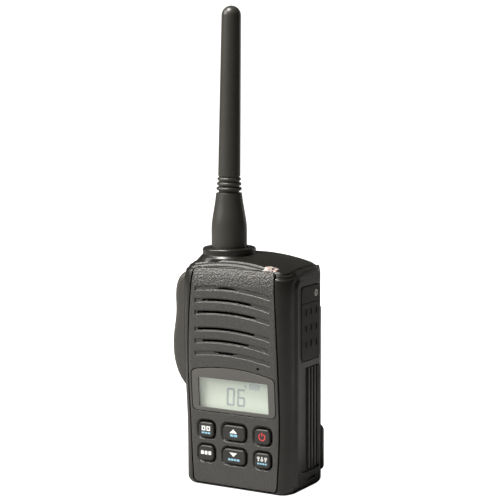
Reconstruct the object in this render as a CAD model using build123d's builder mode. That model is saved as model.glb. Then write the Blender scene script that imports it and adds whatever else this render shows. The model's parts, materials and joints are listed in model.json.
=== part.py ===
from build123d import *
from math import asin, atan, cos, degrees, pi, radians, sin, sqrt, tan
import os

# Handheld VHF marine radio. X runs to the right of the front face, Y to the back, Z up.
# The origin is on the flat base, under the middle of the body. Millimetres.

# ---------------------------------------------------------------- body
body_width = 59.0
body_back = 18.3  # Y of the upper back face
foot_front = -16.8  # Y of the front face from the base up to foot_height
foot_height = 20.0
belly_front = -19.1  # the fullest part of the front face
belly_height = 76.0
belly_radius = 400.0
brow_height = 97.0  # above this the front rolls back
brow_radius = 35.0
crest_margin = 0.6  # how far the front's curve runs on above the dome
front_corner = 7.0  # plan radii of the body
back_corner = 6.0
base_round = 3.7
small_round = 1.0
side_wall = 2.0
base_wall = 2.4
top_wall = 2.3

# The top is a dome, stepped down twice towards the edge of the body.
dome_top = 112.4
dome_x = -3.4
dome_y = 8.0
dome_radius_x = 107.0
dome_radius_y = 100.0
dome_reach = 45.0
shoulder_drop = 1.6
shoulder_round = 1.2
terrace_inset = 1.2
terrace_drop = 0.7
platform_inset = 2.8
terrace_low = 96.0

# The housing and the rear case part at this plane, behind the antenna's flange.
split_back = 14.2
ledge_width = 1.4
seal_thickness = 1.2
rear_plate = 2.5
fit_gap = 0.15  # between pieces of the casing
overlap = 0.2  # how far a raised detail is rooted in its piece

# ---------------------------------------------------------------- front panel
panel_depth = 2.4
web_depth = 2.0  # the housing's wall behind the panel
panel_gap = 0.7
panel_top_gap = 0.25
panel_base_half = 22.7
panel_belly_half = 24.4
panel_belly_height = 60.0
panel_top_half = 21.9
panel_base = 1.9
panel_top = 106.4
panel_top_rise = 0.7
panel_corner = 2.2

bezel_half = 22.8
bezel_base = 37.6
bezel_side_top = 56.2
bezel_side_rise = 0.9  # of the left side above the right
bezel_arch_top = 59.5
bezel_corner = 2.4
bezel_gap = 0.45
lcd_half = 19.2
lcd_base = 39.3
lcd_top = 54.0
lcd_corner = 0.8
window_recess = 0.9
window_thickness = 1.1
window_lap = 1.3
window_gap = 0.05

# ---------------------------------------------------------------- grille and speaker
speaker_x = -3.3
speaker_z = 81.2
grille_height = 82.0
grille_radius = 16.4
groove_height = 82.2  # of the middle between the rows
grille_row_pitch = 5.8
grille_middle_pitch = 8.0
grille_rows = 3  # on each side of the middle
groove_arc_radius = 116.0
groove_peak_x = -5.6
groove_half_length = 20.6
groove_width = 2.2
groove_depth = 0.45
slot_width = 1.2
speaker_radius = 18.0
speaker_seat = -13.9  # Y of the planar seat behind the web
cloth_thickness = 0.3
speaker_hole = 15.2
basket_depth = 4.3
basket_wall = 0.8
magnet_radius = 9.0
magnet_depth = 3.0
cone_throat = 4.0
cone_thickness = 0.4
cone_gap = 0.1

mic_x = 14.3
mic_z = 60.9
mic_hole = 0.7
mic_radius = 2.0
mic_depth = 2.2
mic_boot_radius = 2.8
mic_boot_floor = 1.0

# ---------------------------------------------------------------- keys
key_pitch = 15.56
key_row_low = 16.7
key_row_high = 28.2
key_side_width = 8.4
key_middle_width = 12.3
key_height = 7.2
key_corner = 2.2
key_round = 0.7
key_proud = 0.7
key_gap = 0.3
key_travel = 0.6
key_slack = 0.1
well_chamfer = 1.1
flange_width = 0.9
flange_thickness = 1.0
flange_gap = 0.2
post_radius = 1.5
membrane_half = 21.4
membrane_low = 10.6
membrane_high = 34.2
membrane_thickness = 0.8
membrane_hole = 1.9
dome_radius = 2.5
dome_height = 0.4

# ---------------------------------------------------------------- boards and display
board_half = 25.6
board_low = 6.0
board_thickness = 1.2
control_front = -9.2
control_top = 64.5
rf_front = -2.0
rf_top = 100.5
board_corner = 3.0
pillar_radius = 2.2
pillar_x = 23.9
pillar_low = 9.2
pillar_high = 57.6
pillar_bore = 1.05
screw_radius = 1.0
screw_bite = 2.2
screw_head_radius = 1.9
screw_head_height = 1.2
screw_slot = 0.5
screw_slot_reach = 1.3  # length of the slot over the head's radius
connector_half = 8.0
connector_low = 12.0
connector_high = 16.5
chip_height = 1.2
chips = ((-8.0, 30.0, 9.0), (9.0, 34.0, 7.0), (-2.0, 48.0, 5.0))  # X, Z and side of each

glass_half = 21.0
glass_low = 37.9
glass_high = 56.6
glass_front = -14.6
glass_thickness = 1.8
frame_wall = 0.5
frame_gap = 0.1
zebra_height = 1.4
zebra_half = 17.0

shield_half = 20.0
shield_low = 20.0
shield_high = 62.0
shield_depth = 3.2
shield_wall = 0.4

# ---------------------------------------------------------------- side of the body, right
side_rise = 1.0  # of the raised plate round the jack cover and the grip ribs
side_front = -9.4
side_low = 3.2
side_high = 102.0
side_corner = 3.4
side_bevel = 60.0  # degrees from straight out
recess_depth = 1.2
recess_front = -6.7
recess_back = 12.6
recess_low = 9.4
recess_high = 99.4
recess_divide_low = 60.4
recess_divide_high = 63.3
recess_corner = 2.4
cover_split = 91.0
cover_gap = 0.3
cover_proud = 0.3
cover_corner = 2.2
cover_bar_width = 0.9
cover_bar_height = 3.0
cover_bar_proud = 0.3
cover_bar_y = 3.9
cover_bar_pitch_y = 5.05
cover_bar_z = 78.9
cover_bar_pitch_z = 7.7
plug_length = 1.4
plug_gap = 0.6
cover_screw_y = 8.2
cover_screw_z = 95.0
cover_screw_radius = 1.7
cover_screw_shank = 0.9
cover_screw_length = 4.2
cover_screw_head = 0.8
cover_screw_sink = 0.7
rib_low = 10.3
rib_high = 59.6
rib_pitch = 3.0
rib_width = 1.3
rib_count = 4
rib_first = 2.6
rib_proud = 0.8

jack_y = 2.4
jack_low = 70.8
jack_pitch = 11.5
jack_bore_low = 1.8  # takes a 3.5 mm plug
jack_bore_high = 1.3  # takes a 2.5 mm plug
jack_radius = 3.1
jack_length = 12.0
jack_floor = 1.0
jack_nose = 2.6
jack_nose_gap = 0.1

slot_y_front = 0.5
slot_y_back = 8.2
side_slot_z = 5.7
side_slot_height = 1.0
side_slot_depth = 1.0

# ---------------------------------------------------------------- side of the body, left
ptt_front = -15.0
ptt_back = 2.0
ptt_top = 103.8
ptt_shoulder = -33.5
ptt_shoulder_height = 99.8
ptt_upper_lobe = -35.1
ptt_upper_height = 93.0
ptt_waist = -35.0
ptt_waist_height = 84.5
ptt_lower_lobe = -36.5
ptt_lower_height = 73.0
ptt_chin = -33.7
ptt_chin_height = 53.4
ptt_bottom = 47.8
ptt_round = 3.2
ptt_seat = 1.1  # how far the pad reaches into the body
ptt_travel = 0.9
ptt_slack = 0.05
ptt_room = 1.1
ptt_gap = 0.3
ptt_stem_y = -6.0
ptt_stem_z = 73.0
ptt_stem_radius = 2.2
ptt_stem_end = -24.5
ptt_collar_radius = 3.4
ptt_collar_thickness = 1.0
ptt_switch_side = 5.0
ptt_switch_depth = 3.6
ptt_button_radius = 1.2
ptt_button_length = 0.6

# ---------------------------------------------------------------- indicator
led_left = 15.0
led_right = 20.9
led_low = 107.0
led_high = 113.0
led_corner = 2.4
led_reach = -10.6
led_gap = 0.15
pipe_half = 1.3
pipe_front = -14.0
pipe_root = 1.4  # how far the pipe runs up into the lens
pipe_low = 96.6
pipe_back = -4.5
led_size = 2.0

# ---------------------------------------------------------------- antenna
antenna_x = -13.0
antenna_y = 1.0
flange_radius = 12.9
flange_sink = 0.6  # the flange's lower edge below the dome's top
flange_side = 2.3
flange_crown = 1.0
flange_top_radius = 11.9
flange_round = 1.0
collar_radius = 13.9
collar_drop = 1.0
neck_radius = 14.2
neck_shift = 1.7  # of the neck, to the left of the antenna
neck_drop = 2.0
neck_root = 4.6
seat_depth = 0.4
seat_radius = 9.0
skirt_radius = 8.6
skirt_gap = 0.3  # above the seat in the flange
skirt_height = 8.4
taper_mid_radius = 7.55
taper_lower = 9.0
taper_top_radius = 6.25
taper_upper = 8.9
ring_core = 5.0
ring_count = 3
ring_rise = 2.05  # the first ring's middle above the taper
ring_pitch = 2.33
ring_first_radius = 6.15
ring_last_radius = 5.7
ring_half_height = 0.85
whip_low_radius = 5.35
whip_top_radius = 4.65
whip_length = 81.0
whip_lap = 0.8
whip_lean = 1.2  # degrees
stud_radius = 2.95
stud_length = 11.5
stud_head_radius = 5.0
stud_head_height = 3.6
socket_radius = 5.2
socket_depth = 2.0  # below the stud's end
socket_bore = 3.05
socket_floor = 1.2
coil_radius = 2.3
coil_wire = 0.4
coil_pitch = 2.4
coil_turns = 8
coil_room = 3.0
rod_radius = 0.9
rod_short = 16.4  # the rod's end below the antenna's tip
rod_gap = 0.1
rod_root = 1.0
washer_inner = 3.3
washer_outer = 6.6
washer_groove = 0.6

# ---------------------------------------------------------------- battery
pack_top = 87.0
pack_bottom = 0.3
pack_gap = 0.3
pack_back = 19.0
pack_half = 19.8
pack_block_low = 8.0
pack_block_high = 64.0
pack_block_front = 5.3
pack_wall = 1.4
pack_back_wall = 1.8
pack_chamfer = 0.5
pack_lid = 1.2
cell_gap = 0.2
cell_count = 2
bay_wall = 1.5
bay_gap = 0.25
contact_width = 3.0
contact_height = 6.0
contact_thickness = 0.3
contact_pitch = 6.0
contact_count = 3
contact_z = 14.0
case_screw_x = 23.9
case_screw_low = 9.0
case_screw_high = 76.5
case_boss_radius = 2.15
case_boss_front = 4.0
case_boss_web = 2.4
case_screw_reach = 7.0
case_head_radius = 1.9
case_head_height = 1.3

latch_half = 8.0
latch_low = 88.6
latch_high = 96.6
latch_travel = 2.5
latch_spring_solid = 0.7  # the room that the squeezed spring needs
latch_gap = 0.3
latch_depth = 2.6
latch_proud = 0.3
latch_rib_count = 4
latch_rib_pitch = 1.6
latch_rib_width = 0.6
latch_rib_depth = 0.4
latch_rib_inset = 1.2
latch_nose_half = 4.0
latch_nose_depth = 1.3
spring_radius = 0.9
spring_wire = 0.25
spring_turns = 4

# ---------------------------------------------------------------- belt clip
clip_half = 23.0
clip_low = 2.0
clip_high = 25.4
clip_back = 31.2
clip_thickness = 2.4
clip_knee = 14.0  # from the paddle's top to the bend of the arm
clip_arm_offset = 0.4  # of the arm's inner face behind the pivot
clip_corner = 3.0
clip_arm_half = 9.0
clip_pivot_z = 68.0
clip_pivot_y = 24.6
clip_tab_top = 82.0
clip_ear_thickness = 2.2
clip_ear_gap = 0.3
clip_knuckle = 2.8
clip_pin_radius = 1.25
clip_pin_gap = 0.05
bracket_plate = 1.6
bracket_low = 58.0
bracket_high = 78.0
bracket_half = 13.4
bracket_screw_x = 6.0
bracket_screw_z = 61.0
bracket_screw_radius = 1.2
bracket_screw_head = 2.2
bracket_screw_height = 1.0
bracket_screw_bite = 1.6
clip_spring_radius = 1.75
clip_spring_wire = 0.35
clip_spring_turns = 5
clip_spring_half = 2.6

# ---------------------------------------------------------------- worked-out places
body_half = body_width / 2
side_face = body_half + side_rise
control_back = control_front + board_thickness
rf_back = rf_front + board_thickness
rear_front = split_back - rear_plate
seal_front = rear_front - seal_thickness
inner_side = side_wall + ledge_width
web_back = foot_front + panel_depth + web_depth
led_x = (led_left + led_right) / 2
key_columns = (-key_pitch, 0.0, key_pitch)
key_face = foot_front - key_proud
flange_front = foot_front + panel_depth + flange_gap
flange_back = flange_front + flange_thickness
post_end = control_front - dome_height - key_travel - key_slack
glass_back = glass_front + glass_thickness
bay_half = pack_half + bay_gap
bay_low = pack_block_low - bay_gap
bay_high = pack_block_high + bay_gap
bay_front = pack_block_front - pack_gap
slab_front = split_back + pack_gap
crest_height = dome_top + crest_margin
flange_low = dome_top - flange_sink
flange_side_top = flange_low + flange_side
flange_top = flange_side_top + flange_crown
collar_height = flange_low - collar_drop
neck_height = collar_height - neck_drop
neck_foot = neck_height - neck_root
antenna_seat = flange_top - seat_depth
skirt_bottom = antenna_seat + skirt_gap
skirt_top = skirt_bottom + skirt_height
taper_mid = skirt_top + taper_lower
taper_top = taper_mid + taper_upper
ring_first = taper_top + ring_rise
whip_low = ring_first + ring_count * ring_pitch - whip_lap
whip_top = whip_low + whip_length
rod_top = whip_top - rod_short
stud_bottom = skirt_bottom - stud_length
socket_bottom = stud_bottom - socket_depth
latch_room = latch_travel + latch_spring_solid
latch_front = body_back - latch_depth


def block(x, y, z, mode=Mode.ADD):
    # A box between its low and high X, Y and Z.
    with Locations(((x[0] + x[1]) / 2, (y[0] + y[1]) / 2, (z[0] + z[1]) / 2)):
        Box(x[1] - x[0], y[1] - y[0], z[1] - z[0], mode=mode)


def rod(radius, start, length, axis="Z", mode=Mode.ADD):
    # A cylinder from its start along +X, +Y or +Z.
    turns = {"X": (0, 90, 0), "Y": (-90, 0, 0), "Z": (0, 0, 0)}
    lined_up = (Align.CENTER, Align.CENTER, Align.MIN)
    with Locations(start):
        Cylinder(radius, length, rotation=turns[axis], align=lined_up, mode=mode)


def inner_radius(radius, inset):
    return max(radius - inset, small_round)


# The front face leans out from the foot by this angle, and back at the brow by that one.
foot_lean = 2 * atan((foot_front - belly_front) / (belly_height - foot_height))
hollow_radius = (belly_height - foot_height) / sin(foot_lean) - belly_radius
hollow_top = foot_height + hollow_radius * sin(foot_lean)
brow_lean = asin((brow_height - belly_height) / belly_radius)
crest_lean = asin((crest_height - brow_height) / brow_radius + sin(brow_lean))


def front_at(z):
    # Y of the body's front face up to its brow, for seating the pieces behind it.
    if z <= foot_height:
        return foot_front
    if z <= hollow_top:
        return foot_front - hollow_radius + sqrt(hollow_radius**2 - (z - foot_height) ** 2)
    return belly_front + belly_radius - sqrt(belly_radius**2 - (z - belly_height) ** 2)


def form(side, front, base, back=body_back):
    # The body's outer shape without its domed top, moved in at the sides, front and base.
    half = body_half - side
    with BuildPart() as shape:
        with BuildSketch(Plane.YZ.offset(-half)):
            with BuildLine():
                foot = (foot_front + front, foot_height)
                lean = degrees(foot_lean)
                hollow = JernArc(foot, (0, 1), hollow_radius, lean)
                belly = JernArc(hollow @ 1, hollow % 1, belly_radius, -lean - degrees(brow_lean))
                brow = JernArc(belly @ 1, belly % 1, brow_radius, degrees(brow_lean - crest_lean))
                Polyline(brow @ 1, (back, crest_height), (back, base), (foot[0], base), foot)
            make_face()
        extrude(amount=2 * half)
        sides = shape.edges().group_by(Axis.X)[0] + shape.edges().group_by(Axis.X)[-1]
        fronts = sides.filter_by_position(Axis.Y, belly_front, foot_front / 2)
        fillet(fronts, inner_radius(front_corner, side))
        sides = shape.edges().group_by(Axis.X)[0] + shape.edges().group_by(Axis.X)[-1]
        backs = sides.filter_by_position(Axis.Y, back - 0.01, back + 0.01)
        fillet(backs, inner_radius(back_corner, side))
        fillet(shape.edges().group_by(Axis.Z)[0], inner_radius(base_round, base))
    return shape.part


def dome(drop):
    # Everything under the doubly curved top, lowered by drop.
    top = dome_top - drop
    with BuildPart() as barrel:
        with BuildSketch(Plane.XZ.offset(-dome_y)):
            with BuildLine():
                fall = dome_radius_x - sqrt(dome_radius_x**2 - dome_reach**2)
                left = (dome_x - dome_reach, top - fall)
                right = (dome_x + dome_reach, top - fall)
                ThreePointArc(left, (dome_x, top), right)
                axis_height = top - dome_radius_y
                Polyline(right, (right[0], axis_height), (left[0], axis_height), left)
            make_face()
        revolve(axis=Axis((0, dome_y, axis_height), (1, 0, 0)))
    return barrel.part


def panel_outline(gap):
    # The front panel's outline in X and Z, grown by gap.
    top = panel_top + min(gap, panel_top_gap)
    low = panel_base - gap
    with BuildSketch(Plane.XZ) as outline:
        with BuildLine():
            top_left = (-panel_top_half - gap, top)
            top_right = (panel_top_half + gap, top)
            base_left = (-panel_base_half - gap, low)
            base_right = (panel_base_half + gap, low)
            belly = panel_belly_half + gap
            ThreePointArc(top_left, (0, top + panel_top_rise), top_right)
            ThreePointArc(top_right, (belly, panel_belly_height), base_right)
            Line(base_right, base_left)
            ThreePointArc(base_left, (-belly, panel_belly_height), top_left)
        make_face()
        fillet(outline.vertices(), panel_corner + gap)
    return outline.sketch


def bezel_outline(gap):
    half = bezel_half + gap
    with BuildSketch(Plane.XZ) as outline:
        with BuildLine():
            base_left = (-half, bezel_base - gap)
            base_right = (half, bezel_base - gap)
            top_left = (-half, bezel_side_top + bezel_side_rise + gap)
            top_right = (half, bezel_side_top + gap)
            Polyline(top_left, base_left, base_right, top_right)
            ThreePointArc(top_right, (0, bezel_arch_top + gap), top_left)
        make_face()
        fillet(outline.vertices(), bezel_corner + gap)
    return outline.sketch


def lcd_outline(lap):
    with BuildSketch(Plane.XZ) as outline:
        with Locations((0, (lcd_base + lcd_top) / 2)):
            RectangleRounded(2 * (lcd_half + lap), lcd_top - lcd_base + 2 * lap, lcd_corner + lap)
    return outline.sketch


def front_prism(outline, reach=30.0):
    # An outline on the XZ plane, carried out through the front face.
    with BuildPart() as prism:
        extrude(outline, amount=reach, dir=(0, -1, 0))
    return prism.part


def helix_wire(radius, wire, pitch, turns, place):
    # A coil of round wire about +Z, starting at its place.
    with BuildPart() as coil:
        with BuildLine():
            path = Helix(pitch=pitch, height=pitch * turns, radius=radius)
        with BuildSketch(Plane(path @ 0, z_dir=path % 0)):
            Circle(wire)
        sweep(is_frenet=True)
    return place * coil.part


def save(piece, name):
    piece.label = name
    export_step(piece, "parts/" + name + ".step")


os.makedirs("parts", exist_ok=True)


def terrace(inset, drop):
    # One step of the top: the body moved in by inset, under the dome lowered by drop.
    with BuildPart() as step:
        add(form(inset, inset, 0, body_back - inset))
        add(dome(drop), mode=Mode.INTERSECT)
        block((-body_half, body_half), (-body_half, body_half), (0, terrace_low), mode=Mode.SUBTRACT)
    return step.part


def antenna_boss():
    # The flange that the antenna stands on, with its collar and sloping neck.
    with BuildPart() as boss:
        with BuildSketch(Plane.XZ):
            with BuildLine():
                collar = (collar_radius, collar_height)
                side_top = (flange_radius, flange_side_top)
                crown = (flange_top_radius, flange_top)
                Polyline((0, flange_top), (0, neck_foot), (collar_radius, neck_foot), collar)
                Polyline(collar, (flange_radius, flange_low), side_top)
                RadiusArc(side_top, crown, -flange_round)
                Line(crown, (0, flange_top))
            make_face()
        revolve(axis=Axis.Z)
        with BuildSketch(Plane.XY.offset(collar_height)):
            Circle(collar_radius)
        with BuildSketch(Plane.XY.offset(neck_height)):
            with Locations((-neck_shift, 0)):
                Circle(neck_radius)
        loft()
        rod(neck_radius, (-neck_shift, 0, neck_foot), neck_height - neck_foot)
    return Pos(antenna_x, antenna_y, 0) * boss.part


def cavity(inset, gap=0.0):
    # The room inside the housing. An inset of 0 is the rear opening, and ledge_width the room before it.
    side = side_wall + inset + gap
    with BuildPart() as room:
        add(form(side, panel_depth + web_depth, base_wall + inset + gap))
        add(dome(shoulder_drop + top_wall + inset + gap), mode=Mode.INTERSECT)
    return room.part


def side_plate(back=body_back):
    # The raised plate on the right side, with a broad bevel round it.
    spread = (side_wall + side_rise) * tan(radians(side_bevel))
    corner = side_corner + spread
    depths = (side_front - spread, back + 2 * spread)
    rows = (side_low - spread, side_high + spread)
    with BuildPart() as plate:
        extrude(side_outline(body_half - side_wall, depths, rows, corner), side_wall + side_rise,
                dir=(1, 0, 0), taper=side_bevel)
        add(form(-side_rise, 0, pack_bottom, back), mode=Mode.INTERSECT)
    return plate.part


def slice_y(piece, low, high):
    # The part of a piece between two depths.
    with BuildPart() as cut:
        add(piece)
        reach = dome_reach + body_half
        block((-reach, reach), (low, high), (-reach, whip_top), mode=Mode.INTERSECT)
    return cut.part


def side_outline(face, y, z, corner):
    # A rounded rectangle on a plane facing +X.
    with BuildSketch(Plane.YZ.offset(face)) as outline:
        with Locations(((y[0] + y[1]) / 2, (z[0] + z[1]) / 2)):
            RectangleRounded(y[1] - y[0], z[1] - z[0], corner)
    return outline.sketch


# ================================================================ main housing
with BuildPart() as body_shape:
    add(form(0, 0, 0))
    add(dome(shoulder_drop), mode=Mode.INTERSECT)
    rim = body_shape.faces().sort_by(Axis.Z)[-1].edges()
    fillet(rim, shoulder_round)
    add(terrace(terrace_inset, terrace_drop))
    add(terrace(platform_inset, 0))
    add(antenna_boss())
    add(side_plate())

with BuildPart() as panel_room:
    add(front_prism(panel_outline(panel_gap)))
    bed = panel_depth + fit_gap
    add(form(bed, bed, 0), mode=Mode.SUBTRACT)


def lens_block(gap):
    # The status lens before its face is trimmed to the body, grown by gap.
    with BuildPart() as lens:
        with BuildSketch(Plane.XY.offset(led_low - gap)) as outline:
            with Locations((led_x, (belly_front + led_reach + gap) / 2)):
                Rectangle(led_right - led_left + 2 * gap, led_reach + gap - belly_front)
            back_left = outline.vertices().group_by(Axis.X)[0].sort_by(Axis.Y)[-1]
            fillet(back_left, led_corner + gap)
        extrude(amount=led_high - led_low + 2 * gap)
    return lens.part


pipe_depth = 2 * pipe_half


def light_pipe(gap):
    # The leg from the status lens down to the board.
    with BuildPart() as pipe:
        wide = pipe_half + gap
        back = pipe_front + pipe_depth + gap
        block((led_x - wide, led_x + wide), (pipe_front - gap, back), (pipe_low - gap, led_low + pipe_root))
        high = pipe_low + pipe_depth + gap
        block((led_x - wide, led_x + wide), (pipe_front - gap, pipe_back), (pipe_low - gap, high))
    return pipe.part


with BuildPart() as main_housing:
    add(slice_y(body_shape.part, belly_front - 1, split_back))
    add(panel_room.part, mode=Mode.SUBTRACT)
    add(slice_y(cavity(ledge_width), belly_front, split_back + 1), mode=Mode.SUBTRACT)
    add(slice_y(cavity(0), seal_front, split_back + 1), mode=Mode.SUBTRACT)

    # bosses for the case screws, each tied to the side wall
    for side in (-1, 1):
        for z in (case_screw_low, case_screw_high):
            x = side * case_screw_x
            rod(case_boss_radius, (x, case_boss_front, z), rear_front - case_boss_front, "Y")
            web = sorted((x, side * (body_half - side_wall)))
            rows = (z - case_boss_web / 2, z + case_boss_web / 2)
            block(web, (case_boss_front, seal_front), rows)
            start = rear_front - case_screw_reach
            rod(screw_radius + fit_gap / 3, (x, start, z), case_screw_reach, "Y", Mode.SUBTRACT)

    # pillars for the boards
    for x in (-pillar_x, pillar_x):
        for z in (pillar_low, pillar_high):
            start = front_at(z) + panel_depth + web_depth / 2
            rod(pillar_radius, (x, start, z), control_front - start, "Y")
            rod(pillar_bore, (x, control_front - screw_bite, z), screw_bite, "Y", Mode.SUBTRACT)

    # speaker seat and sound hole
    seat_start = front_at(brow_height) + panel_depth + web_depth / 2
    rod(speaker_radius, (speaker_x, seat_start, speaker_z), speaker_seat - seat_start, "Y")
    rod(speaker_hole, (speaker_x, belly_front, speaker_z), speaker_seat - belly_front, "Y", Mode.SUBTRACT)
    rod(mic_hole, (mic_x, belly_front, mic_z), -belly_front / 2, "Y", Mode.SUBTRACT)

    # openings behind the keys and the display
    for row in (key_row_low, key_row_high):
        for x in key_columns:
            wide = (key_side_width if x else key_middle_width) / 2 + flange_width + key_gap
            tall = key_height / 2 + flange_width + key_gap
            rows = (row - tall, row + tall)
            block((x - wide, x + wide), (belly_front, control_front), rows, Mode.SUBTRACT)
    opening = glass_half + 2 * frame_gap + frame_wall + fit_gap
    opening_low = glass_low - 2 * frame_gap - frame_wall - fit_gap
    opening_high = glass_high + 2 * frame_gap + frame_wall + fit_gap
    depths = (belly_front, control_front)
    block((-opening, opening), depths, (opening_low, opening_high), Mode.SUBTRACT)

    # right side: recesses for the jack cover and the grip ribs, with the ribs left standing
    floor = side_face - recess_depth
    across = (recess_front, recess_back)
    for rows in ((recess_divide_high, recess_high), (recess_low, recess_divide_low)):
        pocket = side_outline(floor, across, rows, recess_corner)
        extrude(pocket, amount=recess_depth + 1, dir=(1, 0, 0), mode=Mode.SUBTRACT)
    for i in range(rib_count):
        y = rib_first + i * rib_pitch
        depth = (y - rib_width / 2, y + rib_width / 2)
        block((floor - overlap, floor + rib_proud), depth, (rib_low, rib_high))
    slot = (side_slot_z - side_slot_height / 2, side_slot_z + side_slot_height / 2)
    block((side_face - side_slot_depth, side_face + 1), (slot_y_front, slot_y_back), slot, Mode.SUBTRACT)
    for i in range(2):
        z = jack_low + i * jack_pitch
        nose = jack_nose + jack_nose_gap
        rod(nose, (body_half - inner_side - 1, jack_y, z), inner_side + 2, "X", Mode.SUBTRACT)
    bite = cover_screw_length - (recess_depth + cover_proud)
    start = (floor - bite, cover_screw_y, cover_screw_z)
    rod(cover_screw_shank + fit_gap / 3, start, bite + 1, "X", Mode.SUBTRACT)

    # left side: the pocket for the push-to-talk pad and the way in for its stem
    pocket_floor = -body_half + ptt_seat + ptt_room
    pocket_y = (ptt_front - ptt_gap, ptt_back + ptt_gap)
    pocket_z = (ptt_bottom - ptt_gap, ptt_top + ptt_gap)
    block((-body_half - 1, pocket_floor), pocket_y, pocket_z, Mode.SUBTRACT)
    start = (-body_half, ptt_stem_y, ptt_stem_z)
    rod(ptt_stem_radius + ptt_gap, start, inner_side + 1, "X", Mode.SUBTRACT)

    # status lens and its light pipe
    add(lens_block(led_gap), mode=Mode.SUBTRACT)
    add(light_pipe(led_gap), mode=Mode.SUBTRACT)

    # antenna seat and socket bore
    seat = (antenna_x, antenna_y, antenna_seat)
    rod(seat_radius, seat, flange_top, "Z", Mode.SUBTRACT)
    groove = (antenna_x, antenna_y, antenna_seat - washer_groove)
    rod(washer_outer + fit_gap, groove, flange_top, "Z", Mode.SUBTRACT)
    bore = (antenna_x, antenna_y, socket_bottom - 1)
    rod(socket_radius + fit_gap / 3, bore, flange_top, "Z", Mode.SUBTRACT)
save(main_housing.part, "main_housing")

# ================================================================ front panel and bezel
with BuildPart() as front_panel:
    add(front_prism(panel_outline(0)))
    add(form(0, 0, 0), mode=Mode.INTERSECT)
    add(form(panel_depth, panel_depth, 0), mode=Mode.SUBTRACT)
    add(front_prism(bezel_outline(bezel_gap)), mode=Mode.SUBTRACT)
    add(lens_block(led_gap), mode=Mode.SUBTRACT)
    add(light_pipe(led_gap), mode=Mode.SUBTRACT)
    rod(mic_hole, (mic_x, belly_front - 1, mic_z), -belly_front, "Y", Mode.SUBTRACT)

    # arched grooves, cut through as slots inside the grille circle
    for i in range(2 * grille_rows):
        step = i - grille_rows + 0.5
        z = groove_height + step * grille_row_pitch
        z += (grille_middle_pitch - grille_row_pitch) / 2 * (1 if step > 0 else -1)
        centre = (groove_peak_x, z - groove_arc_radius)
        with BuildSketch(Plane.XZ) as groove:
            with Locations(centre):
                Circle(groove_arc_radius + groove_width / 2)
                Circle(groove_arc_radius - groove_width / 2, mode=Mode.SUBTRACT)
            with Locations((0, z)):
                Rectangle(2 * groove_half_length, 4 * groove_width, mode=Mode.INTERSECT)
        with BuildPart(mode=Mode.PRIVATE) as groove_cut:
            extrude(groove.sketch, amount=-2 * belly_front, dir=(0, -1, 0))
            add(form(groove_depth, groove_depth, 0), mode=Mode.SUBTRACT)
        add(groove_cut.part, mode=Mode.SUBTRACT)
        with BuildSketch(Plane.XZ) as slot_row:
            with Locations(centre):
                Circle(groove_arc_radius + slot_width / 2)
                Circle(groove_arc_radius - slot_width / 2, mode=Mode.SUBTRACT)
            with Locations((speaker_x, grille_height)):
                Circle(grille_radius, mode=Mode.INTERSECT)
        extrude(slot_row.sketch, amount=-2 * belly_front, dir=(0, -1, 0), mode=Mode.SUBTRACT)

    # key wells with bevelled mouths
    for row in (key_row_low, key_row_high):
        for x in key_columns:
            wide = (key_side_width if x else key_middle_width) + 2 * key_gap
            tall = key_height + 2 * key_gap
            with BuildSketch(Plane.XZ) as well:
                with Locations((x, row)):
                    RectangleRounded(wide, tall, key_corner + key_gap)
            extrude(well.sketch, amount=-belly_front, dir=(0, -1, 0), mode=Mode.SUBTRACT)
            with BuildSketch(Plane.XZ.offset(-foot_front - well_chamfer)):
                with Locations((x, row)):
                    RectangleRounded(wide, tall, key_corner + key_gap)
            extrude(amount=2 * well_chamfer, taper=-45, mode=Mode.SUBTRACT)
save(front_panel.part, "front_panel")

with BuildPart() as display_bezel:
    add(front_prism(bezel_outline(0)))
    add(form(0, 0, 0), mode=Mode.INTERSECT)
    add(form(panel_depth, panel_depth, 0), mode=Mode.SUBTRACT)
    add(front_prism(lcd_outline(0)), mode=Mode.SUBTRACT)
    with BuildPart(mode=Mode.PRIVATE) as seat:
        add(front_prism(lcd_outline(window_lap + window_gap), -foot_front + 1))
        recess = window_recess - window_gap
        add(form(recess, recess, 0), mode=Mode.INTERSECT)
    add(seat.part, mode=Mode.SUBTRACT)
save(display_bezel.part, "display_bezel")

with BuildPart() as display_window:
    add(front_prism(lcd_outline(window_lap)))
    add(form(window_recess, window_recess, 0), mode=Mode.INTERSECT)
    inner = window_recess + window_thickness
    add(form(inner, inner, 0), mode=Mode.SUBTRACT)
save(display_window.part, "display_window")

# ================================================================ status light
with BuildPart() as status_lens:
    add(lens_block(0))
    add(body_shape.part, mode=Mode.INTERSECT)
    add(light_pipe(0))
save(status_lens.part, "status_lens")

with BuildPart() as status_led:
    centre = pipe_low + pipe_half
    across = (led_x - led_size / 2, led_x + led_size / 2)
    block(across, (pipe_back + fit_gap, rf_front), (centre - led_size / 2, centre + led_size / 2))
save(status_led.part, "status_led")

# ================================================================ keys
key_names = (
    ("key_lower_left", "key_down", "key_lower_right"),
    ("key_upper_left", "key_up", "key_power"),
)
for names, row in zip(key_names, (key_row_low, key_row_high)):
    for name, x in zip(names, key_columns):
        wide = key_side_width if x else key_middle_width
        with BuildPart() as key:
            with BuildSketch(Plane.XZ.offset(-flange_front)):
                with Locations((x, row)):
                    RectangleRounded(wide, key_height, key_corner)
            extrude(amount=flange_front - key_face)
            fillet(key.faces().sort_by(Axis.Y)[0].edges(), key_round)
            with BuildSketch(Plane.XZ.offset(-flange_back)):
                with Locations((x, row)):
                    flange = (wide + 2 * flange_width, key_height + 2 * flange_width)
                    RectangleRounded(flange[0], flange[1], key_corner + flange_width)
            extrude(amount=flange_thickness)
            rod(post_radius, (x, flange_back, row), post_end - flange_back, "Y")
        save(key.part, name)

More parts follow.
